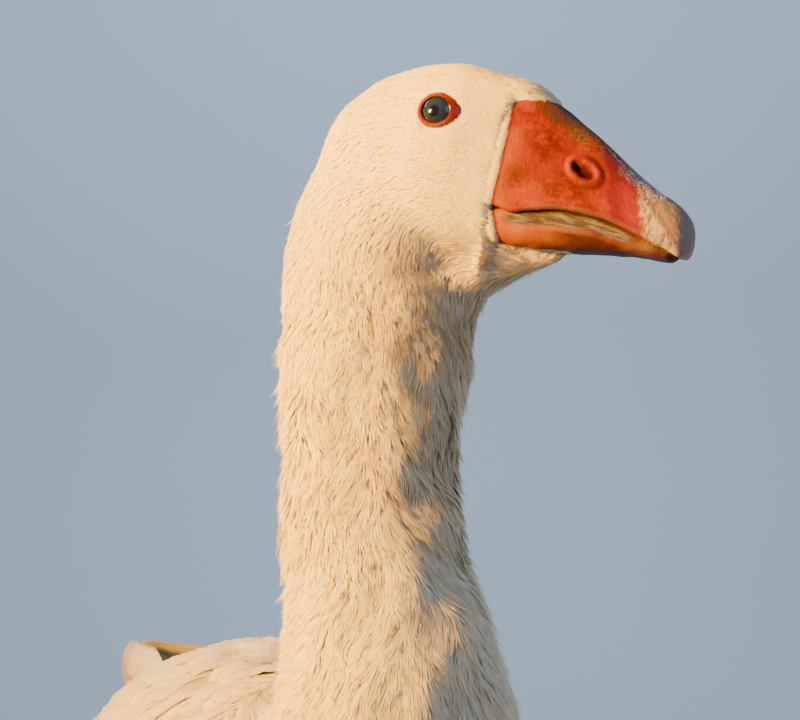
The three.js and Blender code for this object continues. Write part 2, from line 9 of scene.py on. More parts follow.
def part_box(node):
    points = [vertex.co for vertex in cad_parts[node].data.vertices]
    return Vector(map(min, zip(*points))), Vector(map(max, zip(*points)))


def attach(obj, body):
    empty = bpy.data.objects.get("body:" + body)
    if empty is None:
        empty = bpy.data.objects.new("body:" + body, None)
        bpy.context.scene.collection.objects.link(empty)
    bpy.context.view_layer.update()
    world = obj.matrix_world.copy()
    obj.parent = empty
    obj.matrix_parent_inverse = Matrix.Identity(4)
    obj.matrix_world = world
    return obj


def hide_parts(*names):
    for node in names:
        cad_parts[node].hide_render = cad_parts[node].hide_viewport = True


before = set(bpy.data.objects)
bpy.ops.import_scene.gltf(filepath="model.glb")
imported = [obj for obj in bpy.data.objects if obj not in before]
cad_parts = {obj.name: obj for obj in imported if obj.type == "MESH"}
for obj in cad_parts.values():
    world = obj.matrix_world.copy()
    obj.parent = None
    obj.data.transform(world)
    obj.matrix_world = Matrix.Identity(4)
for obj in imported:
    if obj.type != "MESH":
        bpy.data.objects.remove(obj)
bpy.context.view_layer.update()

# ---- Viewpoint ---------------------------------------------------------------------------------
# A 63 mm lens on a 36 mm wide back stands over half a metre in front of the bird's right cheek, a
# little below its chin. It looks up slightly and is tipped to one side, as a hand-held one is.
LENS = 63.0
LENS_BACK = 36.0
LENS_NEAREST = 0.02
LENS_FROM_EYE = Vector((0.51141, -0.24422, -0.13357))
LENS_HEADING = math.radians(23.0)
LENS_PITCH = math.radians(3.5)
LENS_ROLL = math.radians(4.86)


def middle(node):
    low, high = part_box(node)
    return (low + high) / 2


def placed(name, data):
    made = bpy.data.objects.new(name, data)
    bpy.context.scene.collection.objects.link(made)
    return made


right_eye = middle("eye_right")
left_eye = middle("eye_left")
ahead = Vector((
    -math.cos(LENS_HEADING) * math.cos(LENS_PITCH),
    math.sin(LENS_HEADING) * math.cos(LENS_PITCH),
    math.sin(LENS_PITCH),
))
level = Vector((math.sin(LENS_HEADING), math.cos(LENS_HEADING), 0.0))
upright = level.cross(ahead)
across = math.cos(LENS_ROLL) * level - math.sin(LENS_ROLL) * upright
upward = math.sin(LENS_ROLL) * level + math.cos(LENS_ROLL) * upright

lens = bpy.data.cameras.new("viewpoint")
lens.lens = LENS
lens.sensor_width = LENS_BACK
lens.clip_start = LENS_NEAREST
viewpoint = placed("viewpoint", lens)
turn = Matrix((across, upward, -ahead)).transposed().to_4x4()
viewpoint.matrix_world = Matrix.Translation(right_eye + LENS_FROM_EYE) @ turn
bpy.context.scene.camera = viewpoint

# ---- Skin --------------------------------------------------------------------------------------
# One skin runs from the root of the bill over the head, neck, trunk, wings and thighs. It lies under
# the coat by the feathers' depth, is pale and finely pimpled, and shows only where feathers part.
WINGS = [f"wing_{part}_{name}" for part in ("coverts", "secondaries") for name in ("left", "right")]
TRUNK = ["breast", "belly", "rump"]
FLESH = ["head", "neck_upper", "neck_middle", "neck_lower", *TRUNK, "thigh_left", "thigh_right", *WINGS]
SKIN_GRAIN = 0.0028
SKIN_OVERLAP = 0.0005
SKIN_EASE = 10
WELD = 2e-5
MANTLE_DEPTH = 0.0088
HEAD_PITCH = math.radians(20.0)
MILLI = 0.001


def unit(v):
    return v / np.maximum(np.linalg.norm(v, axis=-1, keepdims=True), 1e-12)


def blend(x, low, high):
    """0 below low, 1 above high, and a smooth step between them, whichever way they run."""
    t = np.clip((x - low) / (high - low), 0.0, 1.0)
    return t * t * (3 - 2 * t)


def bump(x, at, width):
    """1 at one value, and less on both sides of it, like a bell."""
    return np.exp(-((x - at) / width) ** 2)


class Wire:
    """One socket of a finish. Sums written on it add the nodes that work them out."""

    def __init__(self, finish, socket):
        self.finish = finish
        self.socket = socket

    def maths(self, operation, *values):
        return self.finish.node("ShaderNodeMath", {"operation": operation}, dict(enumerate(values)))

    def step(self, low, high):
        """0 at low and 1 at high, smoothly."""
        if low > high:
            return 1 - self.step(high, low)
        inputs = {"Value": self, "From Min": low, "From Max": high}
        return self.finish.node("ShaderNodeMapRange", {"interpolation_type": "SMOOTHSTEP"}, inputs)


for short, operation in (("add", "ADD"), ("sub", "SUBTRACT"), ("mul", "MULTIPLY")):
    setattr(Wire, f"__{short}__", lambda wire, other, by=operation: wire.maths(by, wire, other))
    setattr(Wire, f"__r{short}__", lambda wire, other, by=operation: wire.maths(by, other, wire))
for short, operation in (("away", "ABSOLUTE"), ("least", "MINIMUM"), ("most", "MAXIMUM")):
    setattr(Wire, short, lambda wire, *other, by=operation: wire.maths(by, wire, *other))


class Finish:
    """A material round one Principled shader."""

    def __init__(self, name, **shader):
        self.material = bpy.data.materials.new(name)
        self.material.use_nodes = True
        self.tree = self.material.node_tree
        self.tree.nodes.clear()
        self.shader = self.tree.nodes.new("ShaderNodeBsdfPrincipled")
        out = self.tree.nodes.new("ShaderNodeOutputMaterial")
        self.tree.links.new(self.shader.outputs[0], out.inputs[0])
        self.shade = None
        for socket, value in shader.items():
            self.shader.inputs[socket.replace("_", " ")].default_value = value

    def feed(self, socket, value):
        if isinstance(value, Wire):
            self.tree.links.new(value.socket, socket)
        elif hasattr(value, "__len__") and socket.type == "RGBA":
            socket.default_value = (*value, 1.0)
        else:
            socket.default_value = value

    def node(self, kind, settings=None, inputs=None, output=0):
        made = self.tree.nodes.new(kind)
        for key, value in (settings or {}).items():
            setattr(made, key, value)
        for key, value in (inputs or {}).items():
            self.feed(made.inputs[key], value)
        return Wire(self, made.outputs[output])

    def mix(self, share, first, second):
        settings = {"data_type": "RGBA", "clamp_factor": True}
        return self.node("ShaderNodeMix", settings, {0: share, 6: first, 7: second}, 2)

    def over(self, share, colour):
        """Lays one more colour, by a share, over those laid so far."""
        self.shade = self.mix(share, self.shade, colour)

    def said(self, name, output="Fac"):
        """A quantity kept on the mesh's points."""
        return self.node("ShaderNodeAttribute", {"attribute_name": name}, {}, output)

    def inside(self):
        """Places in the piece's own metres."""
        return self.node("ShaderNodeTexCoord", {}, {}, "Object")

    def mottle(self, scale, detail=2.0, rough=0.5, place=None):
        inputs = {"Vector": place or self.inside(), "Scale": scale, "Detail": detail, "Roughness": rough}
        return self.node("ShaderNodeTexNoise", {}, inputs, 0)

    def cells(self, feature, scale):
        inputs = {"Vector": self.inside(), "Scale": scale}
        return self.node("ShaderNodeTexVoronoi", {"feature": feature}, inputs)

    def relief(self, height, depth, strength=1.0):
        inputs = {"Height": height, "Distance": depth, "Strength": strength}
        self.feed(self.shader.inputs["Normal"], self.node("ShaderNodeBump", {}, inputs))

    def done(self, roughness=None, wax=None):
        """Joins the colour, the roughness and the waxy coat to the shader."""
        for socket, value in (("Base Color", self.shade), ("Roughness", roughness), ("Coat Weight", wax)):
            if value is not None:
                self.feed(self.shader.inputs[socket], value)


def paint(*screen):
    """A colour from its screen values of 0 to 255."""
    return tuple((c / 255 / 12.92) if c <= 10 else ((c / 255 + 0.055) / 1.055) ** 2.4 for c in screen)


def piece(name, points, faces, finish, slot, stands_for=(), unwrap=None, normals=None, **said):
    """A mesh piece from arrays of points in metres and of faces with one count of corners."""
    points = np.asarray(points, np.float32)
    faces = np.asarray(faces, np.int32)
    corners = faces.shape[1]
    mesh = bpy.data.meshes.new(name)
    mesh.vertices.add(len(points))
    mesh.vertices.foreach_set("co", points.ravel())
    mesh.loops.add(faces.size)
    mesh.loops.foreach_set("vertex_index", faces.ravel())
    mesh.polygons.add(len(faces))
    mesh.polygons.foreach_set("loop_start", np.arange(0, faces.size, corners, dtype=np.int32))
    mesh.polygons.foreach_set("loop_total", np.full(len(faces), corners, np.int32))
    mesh.update(calc_edges=True)
    mesh.polygons.foreach_set("use_smooth", np.full(len(faces), True))
    if unwrap is not None:
        layer = mesh.uv_layers.new(name="OFBake")
        layer.data.foreach_set("uv", np.asarray(unwrap, np.float32)[faces.ravel()].ravel())
    for key, value in said.items():
        value = np.asarray(value, np.float32)
        kind, field = ("FLOAT_VECTOR", "vector") if value.ndim == 2 else ("FLOAT", "value")
        mesh.attributes.new(key, kind, "POINT").data.foreach_set(field, value.ravel())
    if normals is not None:
        mesh.normals_split_custom_set_from_vertices(np.asarray(normals, np.float32))
    mesh.materials.append(finish.material)
    made = placed(name, mesh)
    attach(made, "root")
    if stands_for:
        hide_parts(*stands_for)


def mantle_lift(place):
    """How far the mantle's thick feathering stands over the trunk between the two wings."""
    midway = blend(abs(place.y), 0.046, 0.032) * blend(place.z, 0.30, 0.34)
    return MANTLE_DEPTH * midway * blend(place.x, -0.16, -0.09) * blend(place.x, 0.17, 0.13)


def fused(nodes, grain, ease, overlap=SKIN_OVERLAP, mantle=()):
    """The CAD solids of those nodes as one smooth surface: its points and its faces."""
    whole = bmesh.new()
    for count, node in enumerate([*nodes, *mantle]):
        one = bmesh.new()
        one.from_mesh(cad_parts[node].data)
        bmesh.ops.remove_doubles(one, verts=one.verts, dist=WELD)
        one.normal_update()
        for vertex in one.verts:
            vertex.co += vertex.normal * overlap
            if count >= len(nodes):
                vertex.co.z += mantle_lift(vertex.co)
        held = bpy.data.meshes.new("held")
        one.to_mesh(held)
        whole.from_mesh(held)
        one.free()
        bpy.data.meshes.remove(held)
    rough = bpy.data.meshes.new("rough")
    whole.to_mesh(rough)
    whole.free()
    carrier = placed("rough", rough)
    remesh = carrier.modifiers.new("remesh", "REMESH")
    remesh.mode = "VOXEL"
    remesh.voxel_size = grain
    smooth = carrier.modifiers.new("smooth", "SMOOTH")
    smooth.factor = 0.5
    smooth.iterations = ease
    graph = bpy.context.evaluated_depsgraph_get()
    fine = bpy.data.meshes.new_from_object(carrier.evaluated_get(graph))
    bpy.data.objects.remove(carrier)
    bpy.data.meshes.remove(rough)
    points = np.zeros(len(fine.vertices) * 3)
    fine.vertices.foreach_get("co", points)
    faces = np.zeros(len(fine.loops), np.int32)
    fine.loops.foreach_get("vertex_index", faces)
    bpy.data.meshes.remove(fine)
    return points.reshape(-1, 3), faces.reshape(-1, 4)


def normals_of(points, faces):
    a, b, c, d = (points[faces[:, corner]] for corner in range(4))
    crossed = np.cross(c - a, d - b)
    total = np.zeros_like(points)
    for corner in range(4):
        np.add.at(total, faces[:, corner], crossed)
    return unit(total)


# The head's own frame, from the eyes: x towards the bill, y to the bird's left, z to the crown.
EYE_PLACE = np.array([-0.3, 0.0, 0.5]) * MILLI
side = np.array((left_eye - right_eye).normalized())
forth = np.array([side[1], -side[0], 0.0])
head_x = math.cos(HEAD_PITCH) * forth - math.sin(HEAD_PITCH) * np.array([0, 0, 1.0])
head_z = math.sin(HEAD_PITCH) * forth + math.cos(HEAD_PITCH) * np.array([0, 0, 1.0])
head_axes = np.array([head_x, side, head_z])
head_middle = np.array((left_eye + right_eye) / 2) - EYE_PLACE @ head_axes


def from_head(local):
    """Points given in millimetres in the head's frame, in the shared frame in metres."""
    return np.asarray(local) * MILLI @ head_axes + head_middle


def in_head(points):
    return (points - head_middle) @ head_axes.T / MILLI


skin_points, skin_faces = fused(FLESH + ["eye_left", "eye_right"], SKIN_GRAIN, SKIN_EASE, mantle=TRUNK)
skin_normals = normals_of(skin_points, skin_faces)


def slice_middle(points, axis, at):
    """The middle of the surface where a thin slab across one axis meets it."""
    near = points[np.abs(points[:, axis] - at) < SLAB_HALF]
    return (near.min(0) + near.max(0)) / 2


# The line that the body is strung on, from the face down the neck and back to the tail.
FACE_LINE = ([34, 0, -16], [14, 0, -16], [-6, 0, -20], [-24, 0, -38])
TRUNK_SHARES = (0.2, 0.3, 0.42, 0.56, 0.7, 0.82, 0.92)
LEG_TOP = 0.145
SLAB_HALF = 0.008
LINE_STEP = 0.02
LINE_PLACES = 240
neck_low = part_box("neck_lower")[0].z
neck_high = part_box("neck_upper")[1].z
neck_points = skin_points[skin_points[:, 2] > neck_low + 0.05]
line = [from_head(place) for place in FACE_LINE]
for height in np.arange(neck_high - 0.036, neck_low + 0.062, -LINE_STEP):
    line.append(slice_middle(neck_points, 2, height))
trunk_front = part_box("breast")[1].x
trunk_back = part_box("rump")[0].x
trunk_points = skin_points[(skin_points[:, 2] < neck_low + 0.03) & (skin_points[:, 2] > LEG_TOP)]
for share in TRUNK_SHARES:
    line.append(slice_middle(trunk_points, 0, trunk_front + share * (trunk_back - trunk_front)))
line.append(np.array([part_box("tail")[0].x + LINE_STEP, 0, middle("tail").z]))
line = np.array(line)
for _ in range(3):
    cut = np.empty((2 * len(line) - 2, 3))
    cut[0::2] = line[:-1] * 0.75 + line[1:] * 0.25
    cut[1::2] = line[:-1] * 0.25 + line[1:] * 0.75
    line = np.vstack([line[:1], cut, line[-1:]])
gone = np.concatenate([[0], np.cumsum(np.linalg.norm(np.diff(line, axis=0), axis=1))])
even = np.linspace(0, gone[-1], LINE_PLACES)
line = np.stack([np.interp(even, gone, line[:, k]) for k in range(3)], 1)
along_line = unit(np.gradient(line, axis=0))
line_reach = even / MILLI
AT_ONCE = 20000


def on_line(points):
    """How far down the body's line each point lies, in millimetres, and the line's way there."""
    reach = np.empty(len(points))
    way = np.empty((len(points), 3))
    for start in range(0, len(points), AT_ONCE):
        some = slice(start, start + AT_ONCE)
        gap = ((points[some, None, :] - line[None, :, :]) ** 2).sum(2)
        nearest = gap.min(1, keepdims=True)
        weight = np.exp((nearest - gap) / (0.001 * np.sqrt(nearest) + 1e-6) / 8)
        weight /= weight.sum(1, keepdims=True)
        reach[some] = weight @ line_reach
        way[some] = weight @ along_line
    return reach, unit(way)


def waves(points, size, seed, count=7):
    """A smooth random field between about -1 and 1, with swells of one size in millimetres."""
    draw = np.random.default_rng(seed)
    total = np.zeros(len(points))
    for _ in range(count):
        heading = unit(draw.normal(size=3)) * 2 * math.pi / (size * MILLI) * draw.uniform(0.6, 1.5)
        total += np.sin(points @ heading + draw.uniform(0, 2 * math.pi))
    return total / math.sqrt(count)


# How deep the feathers are, in millimetres, from the face (reach 0) to the tail.
REACH = [0, 12, 45, 75, 110, 150, 230, 300, 380, 600, 800, 880]
COAT_DEPTH = [0.5, 1.0, 1.3, 1.8, 2.5, 2.8, 3.0, 3.4, 4.2, 4.8, 4.8, 4.2]
LEG_COAT_DEPTH = 3.4
LEAST_COVER = 0.6
KNEE_HEIGHTS = (0.135, 0.19)

skin_reach, _ = on_line(skin_points)
coat_depth = np.interp(skin_reach, REACH, COAT_DEPTH)
low_down = 1 - blend(skin_points[:, 2], *KNEE_HEIGHTS)
coat_depth = coat_depth * (1 - low_down) + LEG_COAT_DEPTH * low_down
skin_points = skin_points - skin_normals * (coat_depth * MILLI)[:, None]

# The neck is fuller on its left below the jaw. Soft rolls run round it, and one deep fold slants
# down over its right side from the front. Above the breast a ruffled ledge ends in a dip.
FULLER_TO = np.array([math.sin(LENS_HEADING), math.cos(LENS_HEADING), 0.0])
NECK_FOLD = np.array([
    (15.4, -13.0, 46.4), (14.9, -15.9, 40.6), (13.0, -20.6, 34.9), (11.0, -25.3, 29.9),
    (9.9, -28.8, 23.0), (8.9, -32.0, 14.1), (7.4, -35.4, 6.4), (5.9, -39.3, -1.6), (4.8, -42.8, -9.9),
]) * MILLI + np.array(middle("neck_lower"))
NECK_LEDGE = np.array([
    (9.6, -16.5, 82.0), (12.0, -10.0, 80.0), (14.5, -2.0, 79.0), (16.0, 5.0, 77.5),
    (15.5, 13.0, 73.0), (14.0, 22.0, 66.0), (12.0, 29.0, 60.0),
]) * MILLI + np.array(middle("neck_lower"))


def off_line(places, corners):
    """Distance to a bent line, and how far along it the nearest point is, from 0 to 1."""
    best = np.full(len(places), 1e9)
    share = np.zeros(len(places))
    for k in range(len(corners) - 1):
        step = corners[k + 1] - corners[k]
        t = np.clip(((places - corners[k]) @ step) / (step @ step), 0, 1)
        gap = np.linalg.norm(places - corners[k] - t[:, None] * step, axis=1)
        closer = gap < best
        best[closer] = gap[closer]
        share[closer] = ((k + t) / (len(corners) - 1))[closer]
    return best, share


def off_crease(places, crease, drop):
    """The same in millimetres, with the crease moved down by drop, in metres."""
    gap, share = off_line(places + (0, 0, drop), crease)
    return gap / MILLI, share


on_neck = blend(skin_reach, 85, 110) * blend(skin_reach, 330, 290)
swell = 2.6 * np.clip(skin_normals @ FULLER_TO, 0, 1)
swell *= blend(skin_reach, 92, 118) * blend(skin_reach, 205, 165)
swell += 0.9 * on_neck * waves(skin_points * (1.0, 1.0, 0.55), 26, 61)
gap, share = off_crease(skin_points, NECK_FOLD, 0)
swell += blend(share, 0, 0.25) * blend(share, 1.0, 0.8) * (1.4 * bump(gap, 11, 5) - 3.6 * bump(gap, 0, 5))
for drop, height, width in ((0.004, -2.8, 5.5), (-0.009, 1.8, 7)):
    swell += height * bump(off_crease(skin_points, NECK_LEDGE, drop)[0], 0, width)
swell = np.minimum(swell, coat_depth - LEAST_COVER)
skin_points = skin_points + skin_normals * (swell * MILLI)[:, None]
skin_normals = normals_of(skin_points, skin_faces)

# The face narrows to the bill and the throat widens under it. A crease runs under the jaw from the
# corner of the lower bill, another crosses the throat, and the lores are slightly sunken.
JAW_CREASE = np.array([(39, -49.5), (32, -54.0), (20, -59.5), (10, -63.5), (0, -66.5), (-10, -67.0)], float)
THROAT_CREASE = np.array([(-26, -70), (-12, -78), (0, -82), (12, -84), (24, -82), (34, -76)], float)
BILL_PINCH = 0.155
THROAT_BULGE = 0.42
head_place = in_head(skin_points)
x, y, z = head_place.T
flat_place = head_place[:, [0, 2]]
above_throat = blend(z, -76, -62)
to_bill = blend(x, -8, 28.5) * blend(z, 20, 8) * above_throat
y *= 1 - BILL_PINCH * to_bill
under_bill = blend(x, 27.5, 31.5) * blend(z, -42, -46) * above_throat
y *= 1 + THROAT_BULGE * under_bill * bump(x, 36, 8)
skin_points = np.where((to_bill + under_bill > 0)[:, None], from_head(head_place), skin_points)
out = np.abs(y)
gap, share = off_line(flat_place, JAW_CREASE)
side_on = blend(out, 6, 12) * (x > -20) * (z < -35)
groove = 1.6 * bump(gap, 0, 3.6) * blend(share, 1.0, 0.6) * blend(share, 0.2, 0.5) * side_on
gap, share = off_line(flat_place, THROAT_CREASE)
groove += 1.8 * bump(gap, 0, 5) * blend(share, 0, 0.2) * (out > 4)
cheek = 0.7 * np.exp(-((flat_place - (6, -46)) ** 2).sum(1) / 15 ** 2) * (out > 10)
lores = 0.4 * np.exp(-((flat_place - (20, -8)) ** 2).sum(1) / 9 ** 2) * (out > 8)
skin_points += skin_normals * ((cheek - groove - lores) * MILLI)[:, None]

# Inside the bare ring the skin lies close to the eyeball.
RING_UP = 0.75
EYE_RADIUS = (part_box("eye_right")[1].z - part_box("eye_right")[0].z) / 2 / MILLI
eye_seat = in_head(np.array([left_eye]))[0]
head_place = in_head(skin_points)
x, y, z = head_place.T
from_eye = np.hypot(x - eye_seat[0], z - eye_seat[2] - RING_UP)
ball_out = abs(eye_seat[1]) + np.sqrt(np.maximum(EYE_RADIUS ** 2 - np.minimum(from_eye, 8.4) ** 2, 0)) - 1.6
out = np.abs(y)
held = blend(from_eye, 7.6, 5.8) * (out > 10)
y[:] = np.sign(y) * (out * (1 - held) + np.minimum(out, ball_out) * held)
skin_points = np.where((held > 0)[:, None], from_head(head_place), skin_points)
skin_normals = normals_of(skin_points, skin_faces)


def grime_and_painted_light_at(points):
    """Markings that skin and coat share, 0 to 1 each: grey on the lores and flecks on the brow, painted shade
    in the neck's creases and over the back, golden stains on the belly and in broad patches, and painted warm
    bounce light in the throat and the ruff.
    """
    x, y, z = in_head(points).T
    ahead_by, _, height = points.T
    lore = np.exp(-(((x - 26.5) / 3.4) ** 2 + ((z + 15) / 8) ** 2)) * (np.abs(y) > 8)
    brow = blend(x, 14, 30) * blend(z, 13, 20) * blend(z, 60, 40)
    flecks = blend(waves(points, 2.2, 51), 0.5, 1.1)
    grey = 0.18 * lore * (0.6 + 0.4 * waves(points, 4, 52)) + 0.75 * brow * flecks
    # Painted shade: the neck's deep fold and the dip under its ledge are greyed.
    for crease, drop, dark in ((NECK_FOLD, 0.0, 0.35), (NECK_LEDGE, 0.012, 0.30)):
        gap, share = off_crease(points, crease, drop)
        grey += dark * bump(gap, 0, 9) * blend(share, 0, 0.2) * blend(share, 1, 0.8)
    # Painted shade: the upper back behind the neck is greyed, as if in shadow.
    back_painted_shade = blend(height, 0.26, 0.34) * blend(ahead_by, 0.17, 0.11)
    grey += 0.40 * back_painted_shade * (1 + 0.3 * waves(points, 26, 56))
    # Painted light: the throat under the jaw is tinted gold, as warm light bounced into its shade.
    throat = blend(x, -34, 6) * blend(z, -38, -50) * blend(z, -104, -84)
    throat *= 0.75 + 0.35 * waves(points, 6, 53)
    belly = blend(height, 0.2, 0.14) * 0.35 * (0.7 + 0.3 * waves(points, 22, 54))
    # Painted light: the ruffled middle of the neck is tinted gold, as warm bounce light.
    ruff = blend(height, 0.46, 0.50) * blend(height, 0.57, 0.53) * blend(ahead_by, 0.19, 0.23)
    gold = throat + belly + 0.5 * ruff * (1 + 0.8 * waves(points, 12, 57))
    gold = gold + 0.10 * blend(waves(points, 45, 55), 0.2, 1.2)
    return np.clip(grey, 0, 1), np.clip(gold, 0, 1)


def plumage_colour(finish, depth):
    """White, a little creamy, with painted shade greying it deep in the coat, and the shared grey, stains,
    painted shade and painted warm light.
    """
    fleck = finish.mottle(160.0, 2.0, 0.5)
    finish.shade = finish.mix(fleck.step(0.45, 0.8) * 0.5, paint(246, 239, 218), paint(234, 225, 202))
    finish.over(finish.said("gold") * 0.6, paint(208, 184, 124))
    finish.over(finish.said("grey") * 0.8, paint(128, 124, 118))
    # Painted shade: greyer by the depth share, deep in the coat.
    finish.over(depth, paint(206, 197, 182))


bare = Finish("goose_skin", Roughness=0.6, Specular_IOR_Level=0.3)
pimple = bare.cells("F1", 420.0)
plumage_colour(bare, bare.said("depth") * (0.5 + pimple * 0.3))
bare.done(0.62 + bare.mottle(220.0) * 0.25)
bare.relief(1 - pimple, 0.0006, 0.6)
grey, gold = grime_and_painted_light_at(skin_points)
# The skin's depth share paints it greyer from the neck back, as shade deep in the coat.
piece("skin", skin_points, skin_faces, bare, "plumage", FLESH, grey=grey, gold=gold,
      depth=np.interp(skin_reach, [40, 110], [0.05, 0.3]))

# ---- Down of the head --------------------------------------------------------------------------
# The face and crown wear thousands of tiny feathers that lie flat like velvet and point away from
# the bill. Each is a few soft barbs that rise from one root.
WHITES = dict(Roughness=0.85, Sheen_Weight=0.2, Sheen_Roughness=0.5, Specular_IOR_Level=0.2,
              Subsurface_Weight=0.35, Subsurface_Radius=(0.0035, 0.0026, 0.0018))
# How much of the unwrap one feather takes, across and along.
PATCH = (0.0012, 0.0026)
ROOTS_TRIED = 3.2
draw = np.random.default_rng(11)


def flat_on(way, normal):
    return unit(way - normal * (way * normal).sum(1, keepdims=True))


def turned(way, normal, angle):
    """Ways laid flat on the surface and turned on it by an angle each."""
    way = flat_on(way, normal)
    return way * np.cos(angle)[:, None] + np.cross(normal, way) * np.sin(angle)[:, None]


class Bed:
    """A surface that feathers root in."""

    def __init__(self, points, faces, normals):
        self.points, self.normals = points, normals
        self.tree = BVHTree.FromPolygons(points.tolist(), faces.tolist())
        self.triangles = np.vstack([faces[:, [0, 1, 2]], faces[:, [0, 2, 3]]])
        corner = points[self.triangles]
        crossed = np.cross(corner[:, 1] - corner[:, 0], corner[:, 2] - corner[:, 0])
        self.area = np.linalg.norm(crossed, axis=1) / 2
        self.middle = corner.mean(1)

    def strewn(self, spacing, wanted):
        """Roots strewn one spacing apart, in millimetres, over the triangles wanted."""
        pick = np.flatnonzero(wanted)
        room_of = np.broadcast_to(spacing, len(self.triangles)) * MILLI
        share = self.area[pick] / room_of[pick] ** 2
        count = int(share.sum() * ROOTS_TRIED)
        chosen = draw.choice(pick, count, p=share / share.sum())
        first, second = draw.random(count), draw.random(count)
        over = first + second > 1
        first[over], second[over] = 1 - first[over], 1 - second[over]
        ids = self.triangles[chosen]
        weights = np.stack([1 - first - second, first, second], 1)[:, :, None]
        place = (self.points[ids] * weights).sum(1)
        normal = unit((self.normals[ids] * weights).sum(1))
        gap = room_of[chosen]
        keys = np.floor(place / gap.max()).astype(int).tolist()
        taken = {}
        kept = []
        around = [(i, j, k) for i in (-1, 0, 1) for j in (-1, 0, 1) for k in (-1, 0, 1)]
        for index, ((x, y, z), spot, room) in enumerate(zip(keys, place.tolist(), (gap ** 2).tolist())):
            near = (seat for i, j, k in around for seat in taken.get((x + i, y + j, z + k), ()))
            if all(sum((a - b) ** 2 for a, b in zip(seat, spot)) >= room for seat in near):
                taken.setdefault((x, y, z), []).append(spot)
                kept.append(index)
        return place[kept], normal[kept]

    def paths(self, root, normal, way, length, steps=4):
        """Each feather's line along the surface, as points and normals at even steps."""
        spots = [root]
        ups = [normal]
        step = (length * MILLI / steps)[:, None]
        for _ in range(steps):
            found = [self.tree.find_nearest(p) for p in (spots[-1] + way * step).tolist()]
            spots.append(np.array([f[0] for f in found]))
            ups.append(unit(np.array([f[1] for f in found]) + ups[-1]))
            way = flat_on(way, ups[-1])
        return np.stack(spots, 1), np.stack(ups, 1)


skin_bed = Bed(skin_points, skin_faces, skin_normals)
skin_tree = skin_bed.tree
triangle_middle = skin_bed.middle
triangle_reach, _ = on_line(triangle_middle)


def template(along, beside, above, lean, faces):
    """A feather's shape: per point its share of the length, side, height and lean, and its faces."""
    return [np.array(v, float) for v in (along, beside, above, lean)] + [np.array(faces)]


def barb_tuft(barbs, stations, barb_half, curl, tilt):
    """A tuft of V-shaped barbs."""
    along, beside, above, lean, faces = [], [], [], [], []
    for b in range(barbs):
        seat = ((b + 0.5) / barbs - 0.5) + draw.uniform(-0.3, 0.3) / barbs
        reach_of = draw.uniform(0.78, 1.0) * (1 - 0.35 * abs(seat) * 2)
        bend = draw.uniform(-curl, curl)
        up_by = draw.uniform(-0.05, 0.10)
        start = draw.uniform(0, 0.12)
        first = len(along)
        for i in range(stations):
            t = i / stations
            half = barb_half * (1 - t ** 1.6) * (0.7 + 0.3 * min(1, t * 4))
            centre = seat * (0.75 + 0.5 * t) + bend * t * t
            for edge in (-1, 0, 1):
                along.append(start + t * (reach_of - start))
                beside.append(centre + edge * half)
                above.append(up_by * t + (0.5 * half if edge == 0 else 0))
                lean.append(edge * tilt)
            if i:
                a, c = first + 3 * (i - 1), first + 3 * i
                faces += [(a, a + 1, c + 1), (a, c + 1, c), (a + 1, a + 2, c + 2), (a + 1, c + 2, c + 1)]
        tip = len(along)
        along.append(reach_of)
        beside.append(seat * 1.25 + bend)
        above.append(up_by)
        lean.append(0)
        a = first + 3 * (stations - 1)
        faces += [(a, a + 1, tip), (a + 1, a + 2, tip)]
    return template(along, beside, above, lean, faces)


def kinds(count, shape, **sizes):
    """Several templates of one shape, no two quite alike."""
    return [shape(**sizes) for _ in range(count)]


def joined(parts):
    """Several lots of feathers as one."""
    total = 0
    for lot in parts:
        lot["faces"] = lot["faces"] + total
        total += len(lot["points"])
    return {key: np.concatenate([lot[key] for lot in parts]) for key in parts[0]}


def unwrapped(place):
    """Each root's place on the skin unrolled round the body's line, over the whole of 0 to 1."""
    reach, way = on_line(place)
    centre = np.stack([np.interp(reach, line_reach, line[:, k]) for k in range(3)], 1)
    first = unit(np.array([0, 1.0, 0]) - way * way[:, 1:2])
    second = np.cross(way, first)
    out_from = place - centre
    angle = np.arctan2((out_from * second).sum(1), (out_from * first).sum(1)) / (2 * math.pi) + 0.5
    span = (reach - reach.min()) / max(float(np.ptp(reach)), 1e-6)
    return np.stack([0.01 + 0.97 * angle, 0.01 + 0.97 * span], 1)


